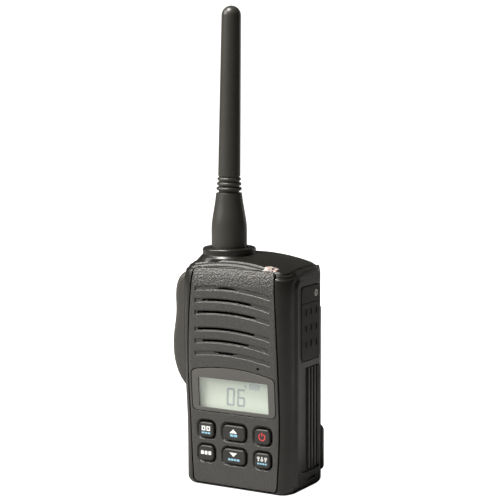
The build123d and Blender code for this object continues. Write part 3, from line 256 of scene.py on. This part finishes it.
def groupNode(tree, group, where, **values):
    node = tree.nodes.new("ShaderNodeGroup")
    node.node_tree = group
    tree.links.new(where, node.inputs["Vector"])
    setInputs(node, values)
    return node


# each end is a fixed colour or another node's colour
def colourMix(tree, factor, low, high):
    node = tree.nodes.new("ShaderNodeMix")
    node.data_type = "RGBA"
    tree.links.new(factor, node.inputs["Factor"])
    for label, value in (("A", low), ("B", high)):
        socket = [s for s in node.inputs if s.name == label and s.type == "RGBA"][0]
        if isinstance(value, bpy.types.NodeSocket):
            tree.links.new(value, socket)
        else:
            socket.default_value = (*value, 1)
    return [s for s in node.outputs if s.type == "RGBA"][0]


def rangeNode(tree, value, low, high):
    node = tree.nodes.new("ShaderNodeMapRange")
    setInputs(node, {"To Min": low, "To Max": high})
    tree.links.new(value, node.inputs["Value"])
    return node.outputs["Result"]


def bumpNode(tree, height, look, under=None):
    node = tree.nodes.new("ShaderNodeBump")
    if under:
        tree.links.new(under, node.inputs["Normal"])
    setInputs(node, {"Strength": look["bump"], "Distance": look["depth"]})
    tree.links.new(height, node.inputs["Height"])
    return node.outputs["Normal"]


# moulded plastics and rubbers: two close tones of the grain, and a worn one
mouldedUsual = {
    "edge": 0.0002,  # radius of the softened edges, in metres
    "edgeSamples": 6,
    "pits": 0.4,  # share of pits in the grain
    "patch": 45.0,  # handled patches, smaller as this grows
    "fade": 0.25,  # how much of the worn tone they show
    "shine": 0.4,
    "coat": 0.0,
    "coatRough": 0.25,
}
moulded = {
    "housing": {
        "dark": (0.0082, 0.0078, 0.0063),
        "light": (0.0114, 0.0107, 0.0089),
        "worn": (0.0158, 0.0152, 0.0126),
        "edge": 0.0004, "grain": 2600, "depth": 0.00004, "bump": 0.35,
        "rough": (0.28, 0.36), "shine": 0.45, "fade": 0.3,
    },
    "panel": {
        "dark": (0.0294, 0.0279, 0.0261),
        "light": (0.0403, 0.0385, 0.0360),
        "worn": (0.0464, 0.0446, 0.0422),
        "edge": 0.0004, "grain": 1150, "depth": 0.0004, "bump": 0.75, "pits": 0.35,
        "rough": (0.28, 0.36), "shine": 0.6, "fade": 0.3, "patch": 60,
    },
    "battery": {
        "dark": (0.0080, 0.0077, 0.0064),
        "light": (0.0114, 0.0107, 0.0091),
        "worn": (0.0154, 0.0147, 0.0125),
        "edge": 0.0003, "grain": 2300, "depth": 0.00005, "bump": 0.4,
        "rough": (0.45, 0.56), "shine": 0.35,
    },
    "bezel": {
        "dark": (0.0680, 0.0653, 0.0613),
        "light": (0.0789, 0.0762, 0.0720),
        "worn": (0.0899, 0.0870, 0.0816),
        "grain": 3500, "depth": 0.00001, "bump": 0.15,
        "rough": (0.30, 0.38), "shine": 0.5, "coat": 0.15,
    },
    "key_rubber": {
        "dark": (0.0163, 0.0155, 0.0143),
        "light": (0.0218, 0.0206, 0.0194),
        "worn": (0.0280, 0.0269, 0.0254),
        "edge": 0.0004, "grain": 2600, "depth": 0.00003, "bump": 0.3,
        "rough": (0.34, 0.44), "shine": 0.45, "patch": 120,
    },
    "pad_rubber": {
        "dark": (0.0396, 0.0380, 0.0333),
        "light": (0.0491, 0.0475, 0.0412),
        "worn": (0.0594, 0.0570, 0.0507),
        "edge": 0.0003, "grain": 2300, "depth": 0.00004, "bump": 0.3,
        "rough": (0.36, 0.46), "shine": 0.3,
    },
    "cover_rubber": {
        "dark": (0.0055, 0.0053, 0.0042),
        "light": (0.0075, 0.0072, 0.0058),
        "worn": (0.0100, 0.0094, 0.0078),
        "grain": 2300, "depth": 0.00004, "bump": 0.35,
        "rough": (0.4, 0.5), "shine": 0.25,
    },
    "seal_rubber": {
        "dark": (0.012, 0.012, 0.012),
        "light": (0.018, 0.018, 0.017),
        "worn": (0.026, 0.026, 0.025),
        "grain": 2600, "depth": 0.00003, "bump": 0.3,
        "rough": (0.55, 0.7),
    },
    "sheath_rubber": {
        "dark": (0.0286, 0.0277, 0.0237),
        "light": (0.0365, 0.0349, 0.0301),
        "worn": (0.0461, 0.0444, 0.0387),
        "edge": 0.0003, "grain": 2400, "depth": 0.00004, "bump": 0.3,
        "rough": (0.30, 0.40), "patch": 30,
    },
    "inner_plastic": {
        "dark": (0.030, 0.030, 0.030),
        "light": (0.040, 0.040, 0.040),
        "worn": (0.055, 0.055, 0.054),
        "grain": 2600, "depth": 0.00004, "bump": 0.3,
        "rough": (0.4, 0.55),
    },
    "chip": {
        "dark": (0.012, 0.012, 0.013),
        "light": (0.018, 0.018, 0.019),
        "worn": (0.03, 0.03, 0.031),
        "grain": 5200, "depth": 0.00002, "bump": 0.3,
        "rough": (0.35, 0.5),
    },
    "cone": {
        "dark": (0.030, 0.029, 0.027),
        "light": (0.055, 0.053, 0.049),
        "worn": (0.07, 0.067, 0.062),
        "grain": 1500, "depth": 0.0001, "bump": 0.6,
        "rough": (0.75, 0.9), "shine": 0.2,
    },
}


def mouldedMaterial(name, look):
    material, tree, shader, where = startMaterial(name)
    grain = groupNode(tree, grainGroup, where, Scale=look["grain"], Pits=look["pits"])
    wear = groupNode(tree, handlingGroup, where, Scale=look["patch"]).outputs["Wear"]
    tone = colourMix(tree, grain.outputs["Tone"], look["dark"], look["light"])
    worn = colourMix(tree, rangeNode(tree, wear, 0, look["fade"]), tone, look["worn"])
    tree.links.new(worn, shader.inputs["Base Color"])
    low, high = look["rough"]
    tree.links.new(rangeNode(tree, wear, high, low), shader.inputs["Roughness"])  # smoother where worn
    edge = tree.nodes.new("ShaderNodeBevel")
    edge.samples = look["edgeSamples"]
    setInputs(edge, {"Radius": look["edge"]})
    bump = bumpNode(tree, grain.outputs["Height"], look, edge.outputs["Normal"])
    tree.links.new(bump, shader.inputs["Normal"])
    setInputs(shader, {
        "Specular IOR Level": look["shine"],
        "Coat Weight": look["coat"],
        "Coat Roughness": look["coatRough"],
    })
    return material


# metals: squeeze packs the fine lines closer along an axis, so they run along the others
metalUsual = {"bump": 0.3, "depth": 0.00003}
metals = {
    "steel": {
        "dark": (0.45, 0.45, 0.44), "light": (0.72, 0.72, 0.70),
        "rough": (0.22, 0.38), "squeeze": (1, 8, 8),
    },
    "screw_steel": {
        "dark": (0.30, 0.30, 0.29), "light": (0.55, 0.55, 0.53),
        "rough": (0.28, 0.42), "squeeze": (6, 1, 6),
    },
    "brass": {
        "dark": (0.55, 0.40, 0.16), "light": (0.86, 0.68, 0.34),
        "rough": (0.2, 0.34), "squeeze": (1, 1, 14),
    },
    "gold": {
        "dark": (0.80, 0.58, 0.22), "light": (0.96, 0.76, 0.38),
        "rough": (0.14, 0.24), "squeeze": (6, 1, 1),
    },
    "shield": {
        "dark": (0.52, 0.52, 0.50), "light": (0.76, 0.76, 0.74),
        "rough": (0.26, 0.4), "squeeze": (12, 1, 1),
    },
    "magnet": {
        "dark": (0.30, 0.30, 0.30), "light": (0.52, 0.52, 0.51),
        "rough": (0.25, 0.4), "squeeze": (1, 12, 1),
    },
}


def metalMaterial(name, look):
    material, tree, shader, where = startMaterial(name)
    lines = groupNode(tree, brushingGroup, where, Squeeze=look["squeeze"]).outputs["Lines"]
    tone = colourMix(tree, lines, look["dark"], look["light"])
    tree.links.new(tone, shader.inputs["Base Color"])
    tree.links.new(rangeNode(tree, lines, *look["rough"]), shader.inputs["Roughness"])
    tree.links.new(bumpNode(tree, lines, look), shader.inputs["Normal"])
    setInputs(shader, {"Metallic": 1.0})
    return material


# the speaker's woven cloth: two sets of threads that cross
cloth = {
    "threads": 550.0, "waviness": 0.4,
    "dark": (0.004, 0.004, 0.004), "light": (0.016, 0.016, 0.015),
    "bump": 0.6, "depth": 0.0001, "rough": 0.9,
}


def clothMaterial(look):
    material, tree, shader, where = startMaterial("cloth")
    weave = tree.nodes.new("ShaderNodeMath")
    weave.operation = "MAXIMUM"
    for i, direction in enumerate(("X", "Z")):
        wave = tree.nodes.new("ShaderNodeTexWave")
        wave.bands_direction = direction
        setInputs(wave, {"Scale": look["threads"], "Distortion": look["waviness"]})
        tree.links.new(where, wave.inputs["Vector"])
        tree.links.new(wave.outputs["Fac"], weave.inputs[i])
    tone = colourMix(tree, weave.outputs[0], look["dark"], look["light"])
    tree.links.new(tone, shader.inputs["Base Color"])
    tree.links.new(bumpNode(tree, weave.outputs[0], look), shader.inputs["Normal"])
    setInputs(shader, {"Roughness": look["rough"]})
    return material


# circuit boards: solder mask over copper tracks and filled areas
board = {
    "tracks": {"Scale": 220.0, "Mortar Size": 0.03},
    "dark": (0.010, 0.075, 0.030), "light": (0.030, 0.150, 0.055),
    "grain": 900.0, "cloud": (0.012, 0.06, 0.028), "cloudShare": 0.4,
    "bump": 0.3, "depth": 0.00004, "rough": 0.3,
}


def boardMaterial(look):
    material, tree, shader, where = startMaterial("board")
    tracks = tree.nodes.new("ShaderNodeTexBrick")
    setInputs(tracks, look["tracks"])
    upright = tree.nodes.new("ShaderNodeMapping")  # lays the tracks on the boards' X and Z
    setInputs(upright, {"Rotation": (pi / 2, 0, 0)})
    tree.links.new(where, upright.inputs["Vector"])
    tree.links.new(upright.outputs["Vector"], tracks.inputs["Vector"])
    mask = colourMix(tree, tracks.outputs["Fac"], look["dark"], look["light"])
    grain = groupNode(tree, grainGroup, where, Scale=look["grain"], Pits=0.0)
    clouds = rangeNode(tree, grain.outputs["Tone"], 0, look["cloudShare"])
    tree.links.new(colourMix(tree, clouds, mask, look["cloud"]), shader.inputs["Base Color"])
    tree.links.new(bumpNode(tree, tracks.outputs["Fac"], look), shader.inputs["Normal"])
    setInputs(shader, {"Roughness": look["rough"]})
    return material


# pale reflective display, with painted shade: its tone changes from left to right, standing in for the
# bezel's shadow across it, and a painted glow
lcd = {
    "left": (0.42, 0.45, 0.39), "right": (0.40, 0.45, 0.39),
    "paintedShadeFadeShort": 0.012,  # the painted shade's change ends this far before the right edge, in metres
    "grain": 5000.0, "speck": (0.62, 0.68, 0.60), "speckShare": 0.15,
    # glow is painted light: the display shines in its own colour to look brighter
    "glow": 0.45, "rough": 0.35,
}


def lcdMaterial(look):
    material, tree, shader, where = startMaterial("lcd")
    low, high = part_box("lcd_glass")
    axes = tree.nodes.new("ShaderNodeSeparateXYZ")
    tree.links.new(where, axes.inputs[0])
    # painted shade: the tone changes from left to right across the display, as the bezel's shadow
    # would
    across = tree.nodes.new("ShaderNodeMapRange")
    across.interpolation_type = "SMOOTHSTEP"
    setInputs(across, {"From Min": low.x, "From Max": high.x - look["paintedShadeFadeShort"]})
    tree.links.new(axes.outputs["X"], across.inputs["Value"])
    tone = colourMix(tree, across.outputs["Result"], look["left"], look["right"])
    grain = groupNode(tree, grainGroup, where, Scale=look["grain"], Pits=0.0)
    specks = rangeNode(tree, grain.outputs["Tone"], 0, look["speckShare"])
    fine = colourMix(tree, specks, tone, look["speck"])
    tree.links.new(fine, shader.inputs["Base Color"])
    # painted light: the display glows in its own colour, brightening it beyond what the lamps give
    tree.links.new(fine, shader.inputs["Emission Color"])
    setInputs(shader, {"Emission Strength": look["glow"], "Roughness": look["rough"]})
    return material


# clear window over the display
window = {
    "dark": (0.73, 0.78, 0.73), "light": (0.77, 0.82, 0.77), "patch": 90.0,
    "rough": (0.08, 0.14), "alpha": 0.08, "shine": 0.5,
}


def windowMaterial(look):
    material, tree, shader, where = startMaterial("window")
    wear = groupNode(tree, handlingGroup, where, Scale=look["patch"]).outputs["Wear"]
    tree.links.new(colourMix(tree, wear, look["dark"], look["light"]), shader.inputs["Base Color"])
    tree.links.new(rangeNode(tree, wear, *look["rough"]), shader.inputs["Roughness"])
    setInputs(shader, {"Alpha": look["alpha"], "Specular IOR Level": look["shine"]})
    return material


# cloudy lens of the status light
lens = {
    "dark": (0.40, 0.32, 0.29), "light": (0.52, 0.44, 0.40), "patch": 260.0,
    "rough": (0.12, 0.2), "cloudy": 0.3, "depth": 0.001, "coat": 0.6, "coatRough": 0.08,
}


def lensMaterial(look):
    material, tree, shader, where = startMaterial("lens")
    wear = groupNode(tree, handlingGroup, where, Scale=look["patch"]).outputs["Wear"]
    tree.links.new(colourMix(tree, wear, look["dark"], look["light"]), shader.inputs["Base Color"])
    tree.links.new(rangeNode(tree, wear, *look["rough"]), shader.inputs["Roughness"])
    setInputs(shader, {
        "Subsurface Weight": look["cloudy"],
        "Subsurface Scale": look["depth"],
        "Coat Weight": look["coat"],
        "Coat Roughness": look["coatRough"],
    })
    return material


# light guide behind the glass, with its printed dots
guide = {"dots": 900.0, "dark": (0.68, 0.71, 0.69), "light": (0.80, 0.83, 0.80), "rough": 0.2}


def guideMaterial(look):
    material, tree, shader, where = startMaterial("guide")
    dots = tree.nodes.new("ShaderNodeTexVoronoi")
    setInputs(dots, {"Scale": look["dots"]})
    tree.links.new(where, dots.inputs["Vector"])
    tone = colourMix(tree, dots.outputs["Distance"], look["light"], look["dark"])
    tree.links.new(tone, shader.inputs["Base Color"])
    setInputs(shader, {"Roughness": look["rough"]})
    return material


# shrink film over the battery cells
film = {
    "patch": 70.0, "dark": (0.06, 0.16, 0.26), "light": (0.09, 0.22, 0.33),
    "rough": (0.25, 0.4), "bump": 0.2, "depth": 0.0002,
}


def filmMaterial(look):
    material, tree, shader, where = startMaterial("cells")
    wear = groupNode(tree, handlingGroup, where, Scale=look["patch"]).outputs["Wear"]
    tree.links.new(colourMix(tree, wear, look["dark"], look["light"]), shader.inputs["Base Color"])
    tree.links.new(rangeNode(tree, wear, *look["rough"]), shader.inputs["Roughness"])
    tree.links.new(bumpNode(tree, wear, look), shader.inputs["Normal"])
    return material


# inks of the key marks and of the display's segments
inkUsual = {"grain": 4200.0, "pits": 0.2, "bump": 0.2, "depth": 0.00002, "rough": 0.5, "glow": 0.0}
inks = {
    "whiteInk": {"dark": (0.72, 0.73, 0.72), "light": (0.84, 0.85, 0.84)},
    "blueInk": {"dark": (0.20, 0.42, 0.55), "light": (0.28, 0.52, 0.66)},
    "redInk": {"dark": (0.52, 0.035, 0.045), "light": (0.64, 0.05, 0.06)},
    # the segment inks glow a little: painted light that brightens them
    "segmentInk": {
        "dark": (0.25, 0.27, 0.29), "light": (0.29, 0.31, 0.33), "rough": 0.35, "glow": 0.3,
    },
    "paleSegmentInk": {
        "dark": (0.34, 0.37, 0.38), "light": (0.38, 0.41, 0.42), "rough": 0.35, "glow": 0.3,
    },
}


def inkMaterial(name, look):
    material, tree, shader, where = startMaterial(name)
    grain = groupNode(tree, grainGroup, where, Scale=look["grain"], Pits=look["pits"])
    tone = colourMix(tree, grain.outputs["Tone"], look["dark"], look["light"])
    tree.links.new(tone, shader.inputs["Base Color"])
    tree.links.new(bumpNode(tree, grain.outputs["Height"], look), shader.inputs["Normal"])
    setInputs(shader, {"Roughness": look["rough"]})
    # a glow is painted light: the ink shines in its own colour
    if look["glow"]:
        tree.links.new(tone, shader.inputs["Emission Color"])
        setInputs(shader, {"Emission Strength": look["glow"]})
    return material


# one finish for each material slot of the record
finish = {
    "cloth": clothMaterial(cloth),
    "board": boardMaterial(board),
    "lcd": lcdMaterial(lcd),
    "window": windowMaterial(window),
    "lens": lensMaterial(lens),
    "guide": guideMaterial(guide),
    "cells": filmMaterial(film),
}
for name, look in moulded.items():
    finish[name] = mouldedMaterial(name, {**mouldedUsual, **look})
for name, look in metals.items():
    finish[name] = metalMaterial(name, {**metalUsual, **look})
ink = {name: inkMaterial(name, {**inkUsual, **look}) for name, look in inks.items()}

for name, node in nodes.items():
    for place in node.material_slots:
        place.material = finish[slotOf[name]]
print("materials set:", len(finish), "finishes and", len(ink), "inks")


cleaning = {
    "merge": 1e-7,  # metres within which doubled vertices become one
    "order": (1.0, 37.0, 1009.0),  # weights that give each face its own rank
}


def addPiece(name, shape, material, body):
    bmesh.ops.remove_doubles(shape, verts=shape.verts, dist=cleaning["merge"])
    bmesh.ops.recalc_face_normals(shape, faces=shape.faces)
    # bevel lists faces in an order that varies from run to run, so they are ranked by place
    rank = Vector(cleaning["order"])
    shape.faces.sort(key=lambda face: face.calc_center_median().dot(rank))
    mesh = bpy.data.meshes.new(name)
    shape.to_mesh(mesh)
    shape.free()
    item = bpy.data.objects.new(name, mesh)
    bpy.context.scene.collection.objects.link(item)
    mesh.materials.append(material)
    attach(item, body)


# marks are drawn flat, in millimetres on X and Y, then stood up on the radio's front
def faceFront(x, y, z):
    standing = Matrix.Rotation(pi / 2, 4, "X") @ Matrix.Scale(mm, 4)
    return Matrix.Translation((x * mm, y * mm, z * mm)) @ standing


def turnFlat(shape, made, angle):
    bmesh.ops.rotate(shape, cent=(0, 0, 0), matrix=Matrix.Rotation(angle, 3, "Z"), verts=made)


# a flat bar, its four corners cut off by the bevel
def addBar(shape, wide, tall, thick, place, bevel=0.0, turn=0.0):
    made = bmesh.ops.create_cube(shape, size=1.0)["verts"]
    bmesh.ops.scale(shape, vec=(wide, tall, thick), verts=made)
    if bevel:
        mine = [e for e in shape.edges if e.verts[0] in made]
        corners = [e for e in mine if abs(e.verts[0].co.z - e.verts[1].co.z) > thick / 2]
        done = bmesh.ops.bevel(
            shape, geom=corners, offset=bevel, segments=1, affect="EDGES", profile=0.5, material=-1
        )
        made = list({v for f in done["faces"] for v in f.verts} | {v for v in made if v.is_valid})
    turnFlat(shape, made, turn)
    bmesh.ops.translate(shape, vec=(*place, 0), verts=made)
    return made


def addTriangle(shape, wide, tall, thick, place, down):
    made = bmesh.ops.create_cone(
        shape, cap_ends=True, segments=3, radius1=1.0, radius2=1.0, depth=thick
    )["verts"]
    madeWide = 2 * sin(2 * pi / 3)  # of a triangle in a circle of radius 1, as the next
    madeTall = 1.5
    bmesh.ops.scale(shape, vec=(wide / madeWide, tall / madeTall, 1), verts=made)
    top = max(v.co.y for v in made)
    bmesh.ops.translate(shape, vec=(0, -top + tall / 2, 0), verts=made)
    if down:
        turnFlat(shape, made, pi)
    bmesh.ops.translate(shape, vec=(*place, 0), verts=made)


# two digits of seven segments on the display's glass, in millimetres
digits = {
    "shown": ((-5.75, "abcdef"), (0.1, "acdefg")),  # left edge and segments of each digit
    "low": 40.7,  # foot of the digits above the base
    "high": 8.9,
    "wide": 4.7,
    "stroke": 1.25,
    "slant": 0.06,  # lean for each millimetre of height
    "gap": 0.25,  # what a segment's length leaves out
    "reach": 0.55,  # shares of the stroke: the ends' reach, a bar's height, its cut corners
    "bar": 0.82,
    "corner": 0.3,
}
gauge = {
    "left": 7.1,
    "low": 49.6,
    "wide": 5.8,
    "tall": 2.9,
    "cells": 4,
    "cellShare": 0.8,
    "mark": {"place": (5.0, 50.7), "wide": 1.1, "tall": 1.9, "bevel": 0.3},  # to its left
}
onGlass = {"gap": 0.12, "thick": 0.05}  # how far the segments' middle stands off the glass


# middle and turn of one segment, from the digit's lower left corner
def segmentPlace(letter, wide, high):
    half = high / 2
    return {
        "a": (wide / 2, high, 0),
        "b": (wide, high - half / 2, pi / 2),
        "c": (wide, half / 2, pi / 2),
        "d": (wide / 2, 0, 0),
        "e": (0, half / 2, pi / 2),
        "f": (0, high - half / 2, pi / 2),
        "g": (wide / 2, half, 0),
    }[letter]


def placeOnGlass(name, shape, material):
    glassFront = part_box("lcd_glass")[0].y / mm
    shape.transform(faceFront(0, glassFront - onGlass["gap"], 0))
    addPiece(name, shape, material, "radio")


def drawDigits(look):
    shape = bmesh.new()
    stroke = look["stroke"]
    wide, high = look["wide"] - stroke, look["high"] - stroke
    for left, letters in look["shown"]:
        for letter in letters:
            x, z, turn = segmentPlace(letter, wide, high)
            length = (high / 2 if turn else wide) - look["gap"] + stroke * look["reach"]
            made = addBar(
                shape, length, stroke * look["bar"], onGlass["thick"], (0, 0),
                stroke * look["corner"], turn,
            )
            x += left + stroke / 2 + look["slant"] * z
            bmesh.ops.translate(shape, vec=(x, look["low"] + stroke / 2 + z, 0), verts=made)
    placeOnGlass("display_digits", shape, ink["segmentInk"])


def drawGauge(look):
    shape = bmesh.new()
    step = look["wide"] / look["cells"]
    height = look["low"] + look["tall"] / 2
    for i in range(look["cells"]):
        place = (look["left"] + (i + 0.5) * step, height)
        addBar(shape, step * look["cellShare"], look["tall"], onGlass["thick"], place)
    addBar(shape, thick=onGlass["thick"], **look["mark"])
    placeOnGlass("display_gauge", shape, ink["paleSegmentInk"])


drawDigits(digits)
drawGauge(gauge)
print("display drawn")

# generic marks printed on the key rubber, in millimetres from the middle of each key
legend = {"thick": 0.03, "sink": 0.01}  # sink is how far the ink goes into the rubber


def placeLegend(name, shape, material, node):
    low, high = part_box(node)
    middle = (low + high) / 2
    y = low.y / mm - legend["thick"] / 2 + legend["sink"]
    shape.transform(faceFront(middle.x / mm, y, middle.z / mm))
    addPiece(name, shape, material, node)


# white arrows on the two middle keys
arrows = {
    "wide": 4.3,
    "tall": 1.95,
    "side": -0.2,
    "height": {"key_up": 0.9, "key_down": 0.95},
}


def drawArrow(node, look):
    shape = bmesh.new()
    place = (look["side"], look["height"][node])
    addTriangle(shape, look["wide"], look["tall"], legend["thick"], place, node == "key_down")
    placeLegend(node + "_arrow", shape, ink["whiteInk"], node)


# rows of blue dashes below the white marks
dashes = {
    "gap": 0.28,
    "bevel": 0.12,
    "rows": {
        "key_up": {"height": -1.15, "wide": 3.9, "tall": 1.1, "count": 2},
        "key_down": {"height": -1.45, "wide": 6.2, "tall": 1.0, "count": 4},
        "key_upper_left": {"height": -1.55, "wide": 4.9, "tall": 0.8, "count": 3},
        "key_lower_right": {"height": -1.45, "wide": 5.2, "tall": 0.8, "count": 4},
    },
}


def drawDashes(node, look):
    shape = bmesh.new()
    row, gap = look["rows"][node], look["gap"]
    each = (row["wide"] - gap * (row["count"] - 1)) / row["count"]
    for i in range(row["count"]):
        place = (-row["wide"] / 2 + each / 2 + i * (each + gap), row["height"])
        addBar(shape, each, row["tall"], legend["thick"], place, look["bevel"])
    placeLegend(node + "_blue", shape, ink["blueInk"], node)


# two open rectangles on the upper left key
frames = {
    "across": (-1.35, 1.35),
    "height": 0.65,
    "wide": 2.1,
    "tall": 2.3,
    "stroke": 0.62,
    "bevel": 0.1,
}


def drawFrames(node, look):
    shape = bmesh.new()
    wide, tall, stroke = look["wide"], look["tall"], look["stroke"]
    for x in look["across"]:
        for side in (-1, 1):
            level = (x, look["height"] + side * (tall - stroke) / 2)
            addBar(shape, wide, stroke, legend["thick"], level, look["bevel"])
            upright = (x + side * (wide - stroke) / 2, look["height"])
            addBar(shape, stroke, tall - 2 * stroke, legend["thick"], upright)
    placeLegend(node + "_mark", shape, ink["whiteInk"], node)


# three blocks on the lower left key
blocks = {"across": (-2.1, 0, 2.1), "height": 0.15, "wide": 1.65, "tall": 1.9, "bevel": 0.35}


def drawBlocks(node, look):
    shape = bmesh.new()
    for x in look["across"]:
        place = (x, look["height"])
        addBar(shape, look["wide"], look["tall"], legend["thick"], place, look["bevel"])
    placeLegend(node + "_mark", shape, ink["whiteInk"], node)


# three sliders on the lower right key: a rail each, with its knob high or low
sliders = {
    "rails": ((-1.95, 0.45), (0, -0.45), (1.95, 0.45)),  # place across, and the knob's rise
    "height": 0.8,
    "rail": {"wide": 0.6, "tall": 2.3},
    "knob": {"wide": 1.5, "tall": 0.85},
    "bevel": 0.12,
}


def drawSliders(node, look):
    shape = bmesh.new()
    for x, rise in look["rails"]:
        for bar, height in (("rail", look["height"]), ("knob", look["height"] + rise)):
            addBar(shape, thick=legend["thick"], place=(x, height), bevel=look["bevel"], **look[bar])
    placeLegend(node + "_mark", shape, ink["whiteInk"], node)


# red power sign: a ring open at its top, with a bar in the opening
power = {
    "radius": 1.6,
    "stroke": 0.55,
    "opening": 70.0,  # degrees
    "steps": 22,
    "bar": {"tall": 1.8, "drop": 0.35, "bevel": 0.1},
}


def drawPower(node, look):
    shape = bmesh.new()
    radius, stroke, opening = look["radius"], look["stroke"], radians(look["opening"])
    made = bmesh.ops.create_grid(shape, x_segments=1, y_segments=1, size=0.5)["verts"]
    bmesh.ops.scale(shape, vec=(stroke, legend["thick"], 1), verts=made)
    bmesh.ops.rotate(shape, cent=(0, 0, 0), matrix=Matrix.Rotation(pi / 2, 3, "X"), verts=made)
    bmesh.ops.translate(shape, vec=(radius, 0, 0), verts=made)
    turnFlat(shape, made, pi / 2 + opening / 2)
    bmesh.ops.spin(
        shape, geom=shape.verts[:] + shape.edges[:] + shape.faces[:], cent=(0, 0, 0), axis=(0, 0, 1),
        angle=2 * pi - opening, steps=look["steps"], use_merge=False,
    )
    bar = look["bar"]
    addBar(shape, stroke, bar["tall"], legend["thick"], (0, radius - bar["drop"]), bar["bevel"])
    placeLegend(node + "_symbol", shape, ink["redInk"], node)


for draw, look in ((drawArrow, arrows), (drawDashes, dashes)):
    for node in ("key_up", "key_down"):
        draw(node, look)
drawFrames("key_upper_left", frames)
drawDashes("key_upper_left", dashes)
drawBlocks("key_lower_left", blocks)
drawSliders("key_lower_right", sliders)
drawDashes("key_lower_right", dashes)
drawPower("key_power", power)
print("keys marked")

# pale paper floor that curves up into a wall behind, in metres
floor = {
    "colour": (0.40, 0.40, 0.40),
    "shade": 0.985,  # the grain's darker tone, as a share of the colour
    "grain": 60.0,
    "glow": 1.1,
    "reach": 3.0,
    "wallHeight": 3.0,
    "wallRound": 1.2,
    "roundSteps": 24,
    "rough": 0.9,
    "shine": 0.1,
}


def paperMaterial(look):
    material, tree, shader, where = startMaterial("floorPaper")
    grain = groupNode(tree, grainGroup, where, Scale=look["grain"], Pits=0.0)
    darker = tuple(c * look["shade"] for c in look["colour"])
    tone = colourMix(tree, grain.outputs["Tone"], darker, look["colour"])
    tree.links.new(tone, shader.inputs["Base Color"])
    # glows to the camera only, as a brightly lit sheet of paper would
    ray = tree.nodes.new("ShaderNodeLightPath")
    glow = rangeNode(tree, ray.outputs["Is Camera Ray"], 0, look["glow"])
    tree.links.new(glow, shader.inputs["Emission Strength"])
    setInputs(shader, {
        "Emission Color": (1, 1, 1, 1),
        "Roughness": look["rough"],
        "Specular IOR Level": look["shine"],
    })
    return material


def addFloor(look):
    shape = bmesh.new()
    bmesh.ops.create_grid(shape, x_segments=1, y_segments=1, size=look["reach"])
    backEdge = [e for e in shape.edges if min(v.co.y for v in e.verts) > 0]
    raised = bmesh.ops.extrude_edge_only(shape, edges=backEdge)["geom"]
    wallTop = [v for v in raised if isinstance(v, bmesh.types.BMVert)]
    bmesh.ops.translate(shape, vec=(0, 0, look["wallHeight"]), verts=wallTop)
    bmesh.ops.bevel(
        shape, geom=backEdge, offset=look["wallRound"], segments=look["roundSteps"],
        affect="EDGES", profile=0.5, material=-1,
    )
    for face in shape.faces:
        face.smooth = True
    mesh = bpy.data.meshes.new("floor")
    shape.to_mesh(mesh)
    shape.free()
    item = bpy.data.objects.new("floor", mesh)
    bpy.context.scene.collection.objects.link(item)
    mesh.materials.append(paperMaterial(look))


addFloor(floor)
print("floor laid")
